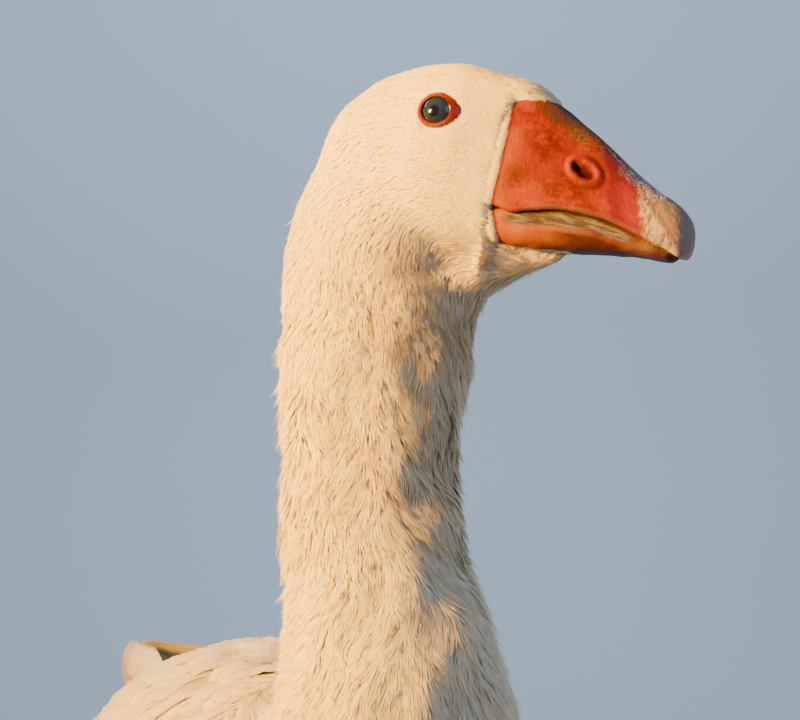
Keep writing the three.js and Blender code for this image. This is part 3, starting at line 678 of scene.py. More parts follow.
def grown(path, wide, rise, templates, roots=None, seat=0.0, calm=0.0, flare=0.0):
    """One feather from a template along every path. Widths and heights are in millimetres.

    Where calm is 1 a feather takes light as the skin under it does, like velvet. Flare is how
    far its tip stands off the coat. Roots are the places that it is unwrapped by.
    """
    spots, ups = path
    roots = spots[:, 0] if roots is None else roots
    unwrap = unwrapped(roots)
    which = draw.integers(0, len(templates), len(spots))
    calm = np.broadcast_to(calm, len(spots))
    flip = draw.choice([-1.0, 1.0], len(spots))
    own = {"tone": draw.random(len(spots))}
    own["grey"], own["gold"] = grime_and_painted_light_at(spots[:, 0])
    steps = spots.shape[1] - 1
    share = np.linspace(0, 1, steps + 1)
    height = np.broadcast_to(seat, len(spots))[:, None] + rise[:, None] * np.sin(share * math.pi / 2 * 0.9)
    height = height + np.broadcast_to(flare, len(spots))[:, None] * share ** 3
    lifted = spots + ups * (height * MILLI)[:, :, None]
    run = unit(np.gradient(lifted, axis=1))
    beside = unit(np.cross(ups, run))
    top = np.cross(run, beside)
    lots = []
    for index, (along, aside, above, lean, faces) in enumerate(templates):
        mine = np.flatnonzero(which == index)
        if not len(mine):
            continue
        at = np.clip(along, 0, 1) * steps
        low = np.minimum(at.astype(int), steps - 1)
        part = (at - low)[None, :, None]

        def along_path(values):
            return values[mine][:, low] * (1 - part) + values[mine][:, low + 1] * part

        size = len(along)
        turned_over = flip[mine][:, None]
        span = (wide[mine] * MILLI)[:, None, None]
        side_of = along_path(beside)
        up_of = along_path(top)
        swing = aside[None, :] * turned_over
        made = along_path(lifted) + side_of * swing[:, :, None] * span + up_of * above[None, :, None] * span
        own_normal = up_of + side_of * (lean[None, :] * turned_over)[:, :, None]
        soft = calm[mine][:, None, None]
        order = np.where(turned_over[:, :, None] < 0, faces[None], faces[None][:, :, ::-1])
        patch = np.stack([swing * PATCH[0], np.broadcast_to(along * PATCH[1], swing.shape)], 2)
        lot = {
            "points": made.reshape(-1, 3),
            "faces": (order + np.arange(len(mine))[:, None, None] * size).reshape(-1, 3),
            "normals": unit(own_normal * (1 - soft) + along_path(ups) * soft).reshape(-1, 3),
            "unwrap": (unwrap[mine][:, None, :] + patch).reshape(-1, 2),
            "along": np.tile(along, len(mine)),
            "across": np.tile(aside, len(mine)),
        }
        lot.update({key: np.repeat(value[mine], size) for key, value in own.items()})
        lots.append(lot)
    return joined(lots)


def coat_finish(name, deep, tint=(250, 247, 240), barbs=0.0, edge=0.0):
    """The finish of one kind of feather: deep and edge are how much painted shade greys its root and its
    margin.
    """
    made = Finish(name, **WHITES)
    along = made.said("along")
    across = made.said("across").away()
    # Painted shade: the root is greyer, as deep in the coat.
    plumage_colour(made, along.step(0.8, 0.1) * deep + made.said("tone") * 0.10)
    made.over(along.step(0.6, 1.0) * 0.35, paint(*tint))
    # Painted shade: the margin and the tip are greyed, as the shade of the overlapping feathers.
    made.over(across.step(0.40, 0.50).most(along.step(0.92, 1.0)) * edge, paint(178, 170, 160))
    made.done(0.78 + made.mottle(300.0) * 0.2)
    if barbs:
        slant = along * 300.0 + across * 150.0
        made.relief(slant.maths("SINE", slant) * 0.3 + across.step(0.05, 0.015) * 1.2, barbs, 0.6)
    return made


def graded(values, at, sizes, *spread):
    """Sizes read from a table at each value, each with a random factor when a spread is given."""
    found = np.interp(values, at, sizes)
    return found * draw.uniform(*spread, len(values)) if spread else found


HEAD_END = 78.0
BARE_ROUND_EYE = 7.65
EYE_CORNER = (0.15, 0.55)
FACE_AT = [0, 10, 40, HEAD_END]
down = coat_finish("face_down", 0.08, (246, 242, 233))


def off_eye(places):
    """How far outside the bare eye ring a point of the head is, in millimetres."""
    at = in_head(places)
    x, z = at[:, 0] - eye_seat[0], at[:, 2] - eye_seat[2] - RING_UP
    spin = np.arctan2(z, x)
    ring_of = BARE_ROUND_EYE + 0.1 * np.sin(spin) + 2.4 * bump(spin, *EYE_CORNER)
    return np.where(np.abs(at[:, 1]) > 10, np.hypot(x, z) - ring_of, 99.0)


face_apart = graded(triangle_reach, FACE_AT, [1.05, 1.1, 1.25, 1.7])
place, normal = skin_bed.strewn(face_apart, triangle_reach < HEAD_END)
outside = off_eye(place)
place, normal, outside = place[outside > 0], normal[outside > 0], outside[outside > 0]
reach, way = on_line(place)
way = turned(way, normal, draw.normal(0, 0.09, len(place)) + 0.12 * waves(place, 16, 3))
x, y, z = in_head(place).T
throat = blend(z, -40, -51) * blend(x, -45, -12) * blend(x, 70, 56)
length = graded(reach, FACE_AT, [2.6, 3.6, 4.8, 7.0], 0.85, 1.15)
length *= (0.45 + 0.55 * blend(outside, 0, 6)) * (1 + 0.9 * throat)
wide = length * (0.38 - 0.14 * throat)
rise = graded(reach, [0, 12, 40, HEAD_END], [0.6, 0.85, 1.1, 1.7], 0.8, 1.1)
rise *= (0.4 + 0.6 * blend(outside, 0, 5)) * (1 + 0.5 * throat * draw.random(len(place)))
path = skin_bed.paths(place, normal, way, length)
face_tufts = kinds(5, barb_tuft, barbs=3, stations=2, barb_half=0.22, curl=0.12, tilt=0.25)
flare = throat * draw.uniform(0.2, 3.0, len(place))
lot = grown(path, wide, rise, face_tufts, calm=0.85 - 0.65 * throat, flare=flare)
piece("head_down", finish=down, slot="plumage", **lot)

# ---- Neck feathers -----------------------------------------------------------------------------
# A goose's neck is clad in narrow, silky feathers that gather in ragged tufts, with parted rows
# round its middle and a finer, straighter nap lower down.
NECK_END = 318.0
NECK_LENGTHS = {
    "top": (HEAD_END - 8, 124.0), "upper": (121.0, 168.0), "middle": (165.0, 214.0),
    "lower": (211.0, 262.0), "base": (259.0, 294.0), "foot": (291.0, NECK_END),
}
neck_coat = coat_finish("neck_feathers", 0.12)
neck_tufts = kinds(8, barb_tuft, barbs=8, stations=3, barb_half=0.08, curl=0.2, tilt=0.35)
neck_apart = graded(triangle_reach, [70, 110, 200, 300], [1.65, 2.0, 2.2, 2.45])
for name, (low, high) in NECK_LENGTHS.items():
    place, normal = skin_bed.strewn(neck_apart, (triangle_reach >= low) & (triangle_reach < high))
    reach, way = on_line(place)
    shaggy = np.interp(reach, [70, 110, 150, 215, 250, 320], [0.15, 0.5, 1.0, 1.0, 0.4, 0.3])
    sway = draw.normal(0, 0.13, len(place)) + 0.42 * waves(place, 26, 5) * shaggy
    way = turned(way, normal, sway)
    length = graded(reach, [70, 100, 150, 300], [7.5, 10, 12.5, 14.5], 0.85, 1.2)
    wide = graded(reach, [70, 100, 300], [2.7, 3.5, 4.1], 0.85, 1.2)
    swell = 1 + 0.35 * shaggy * waves(place, 22, 9)
    rise = graded(reach, [70, 110, 150, 300], [1.8, 2.4, 2.9, 3.0]) * np.clip(swell, 0.4, 1.5)
    rise *= draw.uniform(0.75, 1.15, len(place))
    path = skin_bed.paths(place, normal, way, length)
    ruffled = draw.random(len(place)) < 0.08 + 0.36 * shaggy
    flare = np.where(ruffled, draw.uniform(0.8, 4.2, len(place)), 0.0)
    lot = grown(path, wide, rise, neck_tufts, calm=0.75 - 0.4 * shaggy, flare=flare)
    piece("neck_feathers_" + name, finish=neck_coat, slot="plumage", **lot)

# ---- Contour feathers of the body --------------------------------------------------------------
# Breast, back, flanks and belly are shingled with rounded feathers. Each has a flat vane on both
# sides of a fine shaft and a loose, downy margin, and grows longer towards the tail.
VANE_END = 0.985


def vane(rows, ranks, tip_from, camber, fringe, fray=0.05, base=0.25):
    """A vane with its shaft and a fringe of loose barbs."""
    def half_at(t):
        opening = min(1.0, t / base) ** 0.7 * 0.85 + 0.15
        closing = 1.0 if t < tip_from else math.sqrt(max(0.0, 1 - ((t - tip_from) / (1 - tip_from)) ** 2))
        return 0.5 * (opening * closing)

    along, beside, above, lean, faces = [], [], [], [], []
    ranks_at = np.linspace(-1, 1, 2 * ranks + 1)
    across_count = len(ranks_at)
    for i in range(rows):
        t = (1 - (1 - i / (rows - 1)) ** 1.25) * VANE_END
        half = half_at(t)
        for side_at in ranks_at:
            torn = 1 + (draw.uniform(-fray, fray) if abs(side_at) == 1 and i else 0)
            along.append(t - 0.06 * abs(side_at) * (1 - t))
            beside.append(side_at * half * torn)
            above.append(-camber * side_at ** 2 * half + (0.022 if side_at == 0 else 0))
            lean.append(side_at * 0.4)
    for i in range(rows - 1):
        for j in range(across_count - 1):
            a = i * across_count + j
            c = a + across_count
            faces += [(a, a + 1, c + 1), (a, c + 1, c)]
    for k in range(fringe):
        edge = -1 if k % 2 else 1
        t = 0.3 + 0.68 * (k + draw.uniform(0, 0.8)) / fringe
        further = min(VANE_END, t + 0.05)
        root_half, next_half = half_at(t) * 0.97, half_at(further) * 0.97
        out_by = draw.uniform(0.05, 0.14)
        first = len(along)
        along += [t, further, min(1.06, t + 0.09 + out_by * 0.5)]
        beside += [edge * root_half, edge * next_half, edge * (next_half + out_by)]
        above += [-camber * root_half, -camber * next_half, -camber * (next_half + out_by) + 0.02]
        lean += [edge * 0.4] * 3
        faces.append((first, first + 1, first + 2) if edge < 0 else (first, first + 2, first + 1))
    return template(along, beside, above, lean, faces)


WING_SHELL_GRAIN = 0.004
WING_SHELL_EASE = 2
WING_REACH = 0.0095
SHANK_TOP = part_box("shank_right")[1].z
BACK_FROM = 0.27
DOWNWARD = np.array([0, 0, -1.0])
BODY_REACH = [300, 350, 420, 520, 700, 880]
BODY_APART = [3.6, 4.4, 5.4, 6.4, 7.2, 7.6]
BODY_LENGTH = [17, 21, 26, 31, 37, 43]
BODY_WIDE = [8, 10.5, 14, 17, 19.5, 21]
BODY_RISE = [2.6, 3.0, 3.4, 3.7, 3.8, 3.5]
LEG_APART = 4.6
BODY_SWAY = 0.1
BREAST_END = 400.0
wing_points, wing_faces = fused(WINGS, WING_SHELL_GRAIN, WING_SHELL_EASE)
wing_tree = BVHTree.FromPolygons(wing_points.tolist(), wing_faces.tolist())
found = [wing_tree.find_nearest(p, WING_REACH)[0] for p in triangle_middle.tolist()]
near_wing = np.array([spot is not None for spot in found])
# Painted shade greys these feathers' margins a little.
body_coat = coat_finish("body_feathers", 0.12, barbs=0.00012, edge=0.22)
body_vanes = kinds(6, vane, rows=6, ranks=2, tip_from=0.55, camber=0.14, fringe=20)
body_apart = graded(triangle_reach, BODY_REACH, BODY_APART)
on_leg = triangle_middle[:, 2] < KNEE_HEIGHTS[1]
body_apart = np.where(on_leg, np.minimum(body_apart, LEG_APART), body_apart)
on_body = (triangle_reach >= NECK_END - 6) & ~near_wing
on_breast = triangle_reach < BREAST_END
behind = on_body & ~on_breast & (triangle_middle[:, 2] > SHANK_TOP)
on_back = triangle_middle[:, 2] >= BACK_FROM
for name, zone in (("breast", on_body & on_breast), ("flank", behind & ~on_back), ("back", behind & on_back)):
    place, normal = skin_bed.strewn(body_apart, zone)
    reach, way = on_line(place)
    leg = (1 - blend(place[:, 2], 0.14, 0.18))[:, None]
    way = unit(way * (1 - leg) + (DOWNWARD + 0.4 * way) * leg)
    way = turned(way, normal, draw.normal(0, BODY_SWAY, len(place)) + BODY_SWAY * waves(place, 60, 13))
    size = draw.uniform(0.88, 1.12, len(place)) * (1 - 0.5 * leg[:, 0])
    length = graded(reach, BODY_REACH, BODY_LENGTH) * size
    wide = graded(reach, BODY_REACH, BODY_WIDE) * size * draw.uniform(0.92, 1.1, len(place))
    rise = graded(reach, BODY_REACH, BODY_RISE) * size * draw.uniform(0.94, 1.06, len(place))
    lot = grown(skin_bed.paths(place, normal, way, length), wide, rise, body_vanes, calm=0.5)
    piece(name + "_feathers", finish=body_coat, slot="plumage", **lot)

# ---- Folded wings ------------------------------------------------------------------------------
# Each wing lies folded over the flank. Small coverts at the shoulder grade into long scapulars
# along the back, and a row of great coverts half hides the stacked secondaries.
SIDES = (("right", -1), ("left", 1))
WING_FROM_MIDDLE = 0.014
FLANK_FROM = 0.3
LOWER_BY = 0.004
# Row: first and last root, first and last tip as (x, z) from the shoulder, count, width, lift.
FEATHER_ROWS = [
    # secondaries, then tertials, then great coverts
    ((-0.1575, -0.150), (-0.2375, -0.088), (-0.2755, -0.146), (-0.3775, -0.080), 11, 27, 1.8),
    ((-0.2475, -0.073), (-0.2475, -0.033), (-0.3855, -0.066), (-0.3825, -0.026), 5, 34, 3.4),
    ((-0.1175, -0.150), (-0.2075, -0.073), (-0.1975, -0.150), (-0.2925, -0.066), 12, 25, 3.2),
]
COVERT_AT = [-0.2, 0.0, 0.12, 0.2]
wing_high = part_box("wing_coverts_right")[1]
shoulder = np.array([wing_high.x, wing_high.z])
wing_vanes = kinds(6, vane, rows=9, ranks=3, tip_from=0.6, camber=0.16, fringe=34)
long_vanes = kinds(4, vane, rows=14, ranks=3, tip_from=0.86, camber=0.22, fringe=30, fray=0.03, base=0.12)
# Painted shade greys these feathers' margins.
wing_coat = coat_finish("wing_feathers", 0.12, barbs=0.00015, edge=0.4)
covert_apart = graded(triangle_middle[:, 0], COVERT_AT, [9.5, 8.2, 6.2, 5.0])
rows_front = np.interp(triangle_middle[:, 2], [0.26, 0.34, 0.375, 0.40], [0.07, -0.01, -0.05, -0.18])
coverts_zone = near_wing & (triangle_middle[:, 0] > rows_front)


def on_flank(points, sign):
    """Points given as (ahead, height) in metres, put on the skin's side by a line from outside."""
    found = []
    for x, z in points:
        hit = (None,)
        while hit[0] is None or abs(hit[0].y) < WING_FROM_MIDDLE:
            hit = skin_tree.ray_cast(Vector((x, sign * FLANK_FROM, z)), Vector((0, -sign, 0)))
            z -= LOWER_BY
        found.append(hit)
    return np.array([f[0] for f in found]), np.array([f[1] for f in found])


for name, sign in SIDES:
    lots = []
    for root_a, root_b, tip_a, tip_b, count, wide_of, lift in FEATHER_ROWS:
        share = np.linspace(0, 1, count)[:, None]
        roots = np.array(root_a) * (1 - share) + np.array(root_b) * share
        tips = np.array(tip_a) * (1 - share) + np.array(tip_b) * share
        place, normal = on_flank(roots + shoulder, sign)
        length = np.linalg.norm(tips - roots, axis=1) / MILLI * draw.uniform(0.97, 1.03, count)
        aim_of = np.stack([tips[:, 0] - roots[:, 0], np.zeros(count), tips[:, 1] - roots[:, 1]], 1)
        path = skin_bed.paths(place, normal, flat_on(unit(aim_of), normal), length, 10)
        wide = wide_of * draw.uniform(0.95, 1.05, count)
        seat = lift * 0.35 + 0.30 * np.arange(count)
        lots.append(grown(path, wide, np.full(count, lift * 0.65), long_vanes, seat=seat))
    mine = coverts_zone & (np.sign(triangle_middle[:, 1]) == sign)
    place, normal = skin_bed.strewn(covert_apart, mine)
    reach, way = on_line(place)
    way = turned(way, normal, draw.normal(0, 0.07, len(place)))
    size = draw.uniform(0.9, 1.1, len(place))
    length = graded(place[:, 0], COVERT_AT, [50, 42, 30, 22]) * size
    wide = graded(place[:, 0], COVERT_AT, [25, 22, 17, 13]) * size
    rise = graded(place[:, 0], COVERT_AT, [3.6, 3.5, 3.2, 2.9]) * size
    lots.append(grown(skin_bed.paths(place, normal, way, length, 5), wide, rise, wing_vanes, calm=0.3))
    piece("wing_feathers_" + name, finish=wing_coat, slot="plumage", **joined(lots))

# ---- Flight feathers ---------------------------------------------------------------------------
# The long primaries of each wing slide under the tertials and run out over the rump, where the
# two tips nearly meet. They are stiff vanes with a raised shaft.
PRIMARIES = 9
TIP_UNDER_TOP = 0.0172
# The lowest and the highest feather, each as places from root to tip: ahead of the wing's own tip,
# out from the middle, and up.
LOWEST = [
    (0.225, 0.050, -0.0200), (0.155, 0.038, -0.0205), (0.085, 0.021, -0.0200),
    (0.034, 0.0105, -0.0120), (0.001, 0.0055, -0.0005),
]
HIGHEST = [
    (0.225, 0.031, 0.0025), (0.165, 0.020, 0.0040), (0.115, 0.0115, 0.0005),
    (0.080, 0.0085, -0.0020), (0.049, 0.0070, -0.0030),
]
OUTWARD = [(0, 0.80, 0.60), (0, 0.84, 0.55), (0, 0.89, 0.45), (0, 0.92, 0.40), (0, 0.92, 0.40)]
primary_vanes = kinds(4, vane, rows=18, ranks=3, tip_from=0.90, camber=0.16, fringe=30, fray=0.02, base=0.1)
# Painted shade greys the quills' margins strongly.
quill_coat = coat_finish("wing_quills", 0.1, (226, 216, 200), 0.0001, 0.85)


def before_after(rows, at):
    """The row at or before each place in a table, and how far the place is towards the next."""
    low = np.minimum(at.astype(int), rows.shape[-2] - 2)
    return low, (at - low)[:, None]


def drawn_through(rows, at):
    """A smooth curve through a table's rows, at places counted in rows."""
    low, t = before_after(rows, at)
    start, end = rows[..., low, :], rows[..., low + 1, :]
    out_of = (end - rows[..., np.maximum(low - 1, 0), :]) / 2
    into = (rows[..., np.minimum(low + 2, rows.shape[-2] - 1), :] - start) / 2
    return ((2 * t ** 3 - 3 * t ** 2 + 1) * start + (t ** 3 - 2 * t ** 2 + t) * out_of
            + (-2 * t ** 3 + 3 * t ** 2) * end + (t ** 3 - t ** 2) * into)


def on_path(points, normals, steps=10):
    """Many feathers' lines from their few guide points, as even steps."""
    share = np.linspace(0, points.shape[1] - 1, steps + 1)
    low, t = before_after(points, share)
    return drawn_through(points, share), unit(normals[:, low] * (1 - t) + normals[:, low + 1] * t)


for name, sign in SIDES:
    node = "wing_primaries_" + name
    low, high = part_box(node)
    tip = np.array([low.x, 0.0, high.z - TIP_UNDER_TOP])
    either = np.array([1.0, sign, 1.0])
    share = np.linspace(0, 1, PRIMARIES)[:, None, None]
    guide = tip + (np.array(LOWEST) * (1 - share) + np.array(HIGHEST) * share) * either
    path = on_path(guide, np.broadcast_to(unit(np.array(OUTWARD) * either), guide.shape))
    lot = grown(path, np.linspace(19, 22, PRIMARIES), np.full(PRIMARIES, 0.5), primary_vanes,
                seat=np.linspace(-1.0, 4.2, PRIMARIES))
    piece("primaries_" + name, finish=quill_coat, slot="plumage", stands_for=[node], **lot)

# ---- Tail --------------------------------------------------------------------------------------
# Sixteen blunt tail feathers fan slightly and lie one over the next, the middle pair on top.
TAIL_FEATHERS = 16
TAIL_WIDE = 25.0
TAIL_RISE = 0.4
TAIL_STACK = 3.0
TAIL_INSET = 0.010
tail_low, tail_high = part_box("tail")
tail_z = (tail_low.z + tail_high.z) / 2
half_tail = (tail_high.y - tail_low.y) / 2 - TAIL_INSET
fan = np.linspace(-1, 1, TAIL_FEATHERS)
guide = np.array([[
    (tail_high.x + 0.02, f * 0.012, tail_z + 0.001 * (1 - abs(f))),
    (tail_high.x - 0.03, f * half_tail * 0.55, tail_z - 0.001 + 0.004 * (1 - abs(f))),
    (tail_high.x - 0.08, f * half_tail * 0.85, tail_z - 0.001 + 0.004 * (1 - abs(f))),
    (tail_low.x + 0.002 + 0.012 * f * f, f * half_tail, tail_z + 0.003 + 0.003 * (1 - abs(f))),
] for f in fan])
normal = np.array([[(0, f * 0.35, 1)] * 4 for f in fan])
tail_vanes = kinds(4, vane, rows=16, ranks=3, tip_from=0.88, camber=0.18, fringe=30, fray=0.02, base=0.1)
sizes = [np.full(TAIL_FEATHERS, size) for size in (TAIL_WIDE, TAIL_RISE)]
lot = grown(on_path(guide, unit(normal)), *sizes, tail_vanes, seat=TAIL_STACK * (1 - np.abs(fan)))
piece("tail_feathers", finish=wing_coat, slot="plumage", stands_for=["tail"], **lot)

# ---- Legs and feet -----------------------------------------------------------------------------
# Below the feathered thigh the shank and the three webbed toes are covered in orange scales, in
# rings down the front of the shank and in a fine net all over. The short hind toe points back.
LEG_GRAIN = 0.0013
LEG_OVERLAP = 0.0003
LEG_EASE = 3
RING_APART = 4.2
leg_skin = Finish("leg_skin", Roughness=0.5, Specular_IOR_Level=0.45, Subsurface_Weight=0.08,
                  Subsurface_Radius=(0.003, 0.0012, 0.0006))
net = leg_skin.cells("DISTANCE_TO_EDGE", 330.0)
wash = leg_skin.mottle(30.0, 3.0)
leg_skin.shade = leg_skin.mix(wash.step(0.35, 0.7), paint(196, 96, 12), paint(176, 70, 16))
leg_skin.over(net.step(0.10, 0.02) * 0.55, paint(150, 70, 44))
leg_skin.done(0.45 + wash * 0.25)
leg_skin.relief(net.step(0.0, 0.22), 0.0005, 0.8)
for name, _ in SIDES:
    nodes = ["shank_" + name, "foot_" + name]
    leg_points, leg_faces = fused(nodes, LEG_GRAIN, LEG_EASE, LEG_OVERLAP)
    leg_out = normals_of(leg_points, leg_faces)
    height = leg_points[:, 2]
    scale_bulge = 0.22 * waves(leg_points, 5.0, 41) + 0.14 * waves(leg_points, 2.4, 42)
    rings = np.sin(height / MILLI * 2 * math.pi / RING_APART) * blend(height, 0.02, 0.03)
    rings = rings * blend(leg_out[:, 0], 0.1, 0.6)
    push = (scale_bulge + 0.25 * rings) * blend(height, 0.0004, 0.003)
    leg_points = leg_points + leg_out * (push * MILLI)[:, None]
    leg_points[:, 2] = np.maximum(leg_points[:, 2], 0.0)
    piece("leg_" + name, leg_points, leg_faces, leg_skin, "leg", nodes)

# The claws are short, blunt nails of pale horn, mottled with brown.
CLAW_GRAIN = 0.0008
CLAW_OVERLAP = 0.0002
CLAW_EASE = 4
TOES = ("inner", "middle", "outer", "hind")
claw_horn = Finish("claw_horn", Roughness=0.4, Specular_IOR_Level=0.5)
grain = claw_horn.mottle(90.0, 4.0, 0.6)
claw_horn.shade = claw_horn.mix(grain.step(0.35, 0.7), paint(226, 206, 178), paint(150, 124, 104))
claw_horn.done(0.35 + grain * 0.3)
claw_horn.relief(grain, 0.0004, 0.5)
for name, _ in SIDES:
    nodes = [f"claw_{toe}_{name}" for toe in TOES]
    claw_points, claw_faces = fused(nodes, CLAW_GRAIN, CLAW_EASE, CLAW_OVERLAP)
    claw_points[:, 2] = np.maximum(claw_points[:, 2], 0.0)
    piece("claws_" + name, claw_points, claw_faces, claw_horn, "claw", nodes)

# ---- Bill --------------------------------------------------------------------------------------
# The upper bill is horn under a thin, waxy orange skin. It is deep at the brow, where feathers run
# onto it, and slopes to a hard pale nail; a raised pink rim stands round each slit nostril.
UPPER_BILL = [
    # ahead of the eyes, ridge, cutting edge, half-width: all in millimetres in the head's frame
    (20, 20.2, -31.2, 17.2), (32, 20.2, -31.8, 18.0), (39, 18.0, -32.4, 18.0),
    (46, 14.8, -30.4, 17.8), (55, 10.4, -27.8, 17.4), (66, 4.6, -26.7, 16.8),
    (76, -1.4, -27.4, 16.0), (86, -7.2, -29.0, 15.0), (95, -11.8, -31.0, 13.6),
    (102, -14.9, -32.4, 11.6), (106.6, -19.0, -33.6, 8.6), (109.2, -23.4, -32.0, 4.6),
    (110, -27.6, -27.6, 0.0),
]
CHEEK_LINE = ([-45, -32, -17, -0.6, 13.3], [36.0, 30.1, 29.9, 28.8, 26.6])
NAIL_FROM = 95.0
NOSTRIL_SLOPE = math.radians(-23)
# Ovals on the side of the bill: middle, half-sizes and slope.
NOSTRIL = ((63.2, -9.4), (5.6, 2.4), NOSTRIL_SLOPE)
NOSTRIL_RIM = ((63.7, -9.5), (7.2, 4.5), NOSTRIL_SLOPE)
SCAR = ((43.0, -8.0), (2.3, 2.3), 0.0)
HOLLOW = ((50.0, -4.0), (11.0, 8.0), math.radians(-30))
UPPER_MESH = (230, 190)
LOWER_MESH = (170, 130)


def ring_faces(rings, around):
    """The four-cornered faces of a tube of rings, each with the same number of points."""
    ring = np.arange(rings - 1)[:, None] * around
    seat = np.arange(around)[None, :]
    following = (seat + 1) % around
    corners = [ring + seat, ring + following, ring + around + following, ring + around + seat]
    return np.stack(corners, -1).reshape(-1, 4)


def power(value, exponent):
    return np.sign(value) * np.abs(value) ** exponent


def domed(angle):
    """The upper bill's section: a dome, with cutting edges that hang below a shallow palate."""
    s, c = np.sin(angle), np.cos(angle)
    roof = 0.09 + 0.91 * c
    palate = 0.09 * (1 + np.minimum(c, 0)) ** 4 + 0.03 * np.minimum(c, 0) ** 2
    return power(s, 0.88), np.where(c > 0, roof, palate)


def trough(angle):
    """The lower bill's section: a shallow boat whose lips stand up."""
    s, c = np.sin(angle), np.cos(angle)
    lips = 1 - 0.2 * (1 - np.maximum(c, 0)) ** 4
    keel = 0.8 - 0.8 * np.abs(c) ** 0.7
    return power(s, 0.6), np.where(c > 0, lips, keel)


def horn_form(rows, section, rings, around):
    """A closed horn, in millimetres in the head's frame: points, faces and outward ways."""
    shares = 1 - (1 - np.linspace(0, 1, rings)) ** 1.25
    table = drawn_through(np.array(rows, float), np.clip(shares, 0, 1) * (len(rows) - 1))
    angle = np.linspace(-math.pi, math.pi, around, endpoint=False)
    y, z = section(angle - 0.18 * np.sin(2 * angle))
    ahead_by, high, low, wide = table.T
    points = np.stack([
        np.broadcast_to(ahead_by[:, None], (rings, around)),
        np.maximum(wide, 0)[:, None] * y[None, :],
        low[:, None] + (high - low)[:, None] * z[None, :],
    ], -1).reshape(-1, 3)
    faces = ring_faces(rings, around)[:, ::-1]
    return points, faces, normals_of(points, faces)


def from_oval(points, middle_at, size, slope):
    """How far each point is from an oval's middle, in the oval's own half-sizes."""
    x, z = points[:, 0] - middle_at[0], points[:, 2] - middle_at[1]
    along_by = x * math.cos(slope) + z * math.sin(slope)
    over = -x * math.sin(slope) + z * math.cos(slope)
    return np.sqrt((along_by / size[0]) ** 2 + (over / size[1]) ** 2)


def past_cheek(x, z):
    """How far ahead of the cheek's last feathers a place on the bill is."""
    return x - np.interp(z, *CHEEK_LINE)


upper, upper_faces, upper_out = horn_form(UPPER_BILL, domed, *UPPER_MESH)
x, y, z = upper.T
on_side = np.abs(y) > 5
oval, rim = from_oval(upper, *NOSTRIL), from_oval(upper, *NOSTRIL_RIM)
on_rim = bump(rim, 0.88, 0.16)
push = 0.45 * on_rim - 0.5 * bump(rim, 1.28, 0.15)
push = np.where(on_side, push - 2.6 * (1 - blend(oval, 0.7, 1.16)), 0)
# A small round scar lies on the plate ahead of the feathers.
push += np.where(y < -5, 0.25 * bump(from_oval(upper, *SCAR), 1.0, 0.35), 0)
# The plate behind the nostril is softly sunken, the nail stands proud, and the lip is rolled.
push -= np.where(on_side, 0.5 * bump(from_oval(upper, *HOLLOW), 0, 1), 0)
push += 0.55 * blend(x, NAIL_FROM - 1.5, NAIL_FROM + 1.2) * blend(np.abs(y), 12.5, 9.0)
above_edge = z - np.interp(x, [r[0] for r in UPPER_BILL], [r[2] for r in UPPER_BILL])
push += 0.5 * bump(above_edge, 1.6, 1.3) * blend(x, 30, 38) * blend(x, 104, 96)
push -= 0.45 * bump(above_edge, 4.6, 1.6) * blend(x, 34, 44) * blend(x, 100, 92)
in_metres = upper * MILLI
push += 0.16 * waves(in_metres, 9, 21) + 0.05 * waves(in_metres, 2.6, 22) * blend(x, 60, 86)
push += 0.03 * waves(in_metres, 1.2, 23)
# It is a little fuller where the cheek's feathers root on it.
push += 0.9 * blend(past_cheek(x, z), 0.5, -1.2) * blend(z, 14, 8)
upper = upper + upper_out * push[:, None]

ORANGE = paint(134, 46, 0)
AMBER = paint(132, 62, 0)
DEEP_ORANGE = paint(112, 30, 10)
BLOOD_RED = paint(78, 22, 14)
ROSE = paint(138, 38, 54)
MAUVE = paint(108, 38, 52)
CREAM = paint(184, 178, 186)
TAN = paint(140, 126, 122)
SLATE = paint(150, 140, 142)
DARK_RED = paint(58, 8, 14)
DIRT = paint(74, 58, 42)
RIDGE_SHADE = paint(66, 54, 56)
EDGE_RED = paint(96, 14, 8)
UNDER_DOWN = paint(214, 204, 182)
# Redder blotches: where, how wide and how strong.
BLOTCHES = [
    ((47, -16.5, -1), 10, 1), ((37, -17.5, -18), 8, 0.7),
    ((58, -16.5, -20), 14, 0.8), ((47, 16.5, -6), 14, 0.8),
]


def waxy(name, **more):
    """The finish of one half of the bill, a point's place on it, and how far ahead that is."""
    made = Finish(name, Roughness=0.4, Specular_IOR_Level=0.1, Subsurface_Weight=0.06,
                  Subsurface_Radius=(0.004, 0.0012, 0.0006), **more)
    place = made.said("place", "Vector")
    return made, place, made.node("ShaderNodeSeparateXYZ", {}, {0: place})


def scaled(finish, place, by):
    """The place stretched by three factors, so that a mottle on it turns to streaks."""
    return finish.node("ShaderNodeVectorMath", {"operation": "MULTIPLY"}, {0: place, 1: by})


horn, place, x = waxy("bill_skin", Coat_Roughness=0.15)
z = Wire(horn, x.socket.node.outputs[2])
broad = horn.mottle(0.10, 3.0, 0.6, place)
fine = horn.mottle(0.45, 4.0, 0.6, place)
grit = horn.mottle(1.6, 3.0, 0.6, place)
horn.shade = horn.mix((broad + fine * 0.3).step(0.55, 0.74), ORANGE, DEEP_ORANGE)
# The base keeps a clear orange, and redder blotches lie across the middle.
horn.over(x.step(41, 32) * (z + broad * 16).step(16, 4) * 0.8, AMBER)
blotch = None
for centre, size, strength in BLOTCHES:
    gap = horn.node("ShaderNodeVectorMath", {"operation": "DISTANCE"}, {0: place, 1: centre}, 1)
    spot = gap.step(size, size * 0.2)
    blotch = blotch.most(spot * strength) if blotch else spot
horn.over((blotch * (fine + broad * 0.6).step(0.5, 0.95)).least(1.0), BLOOD_RED)
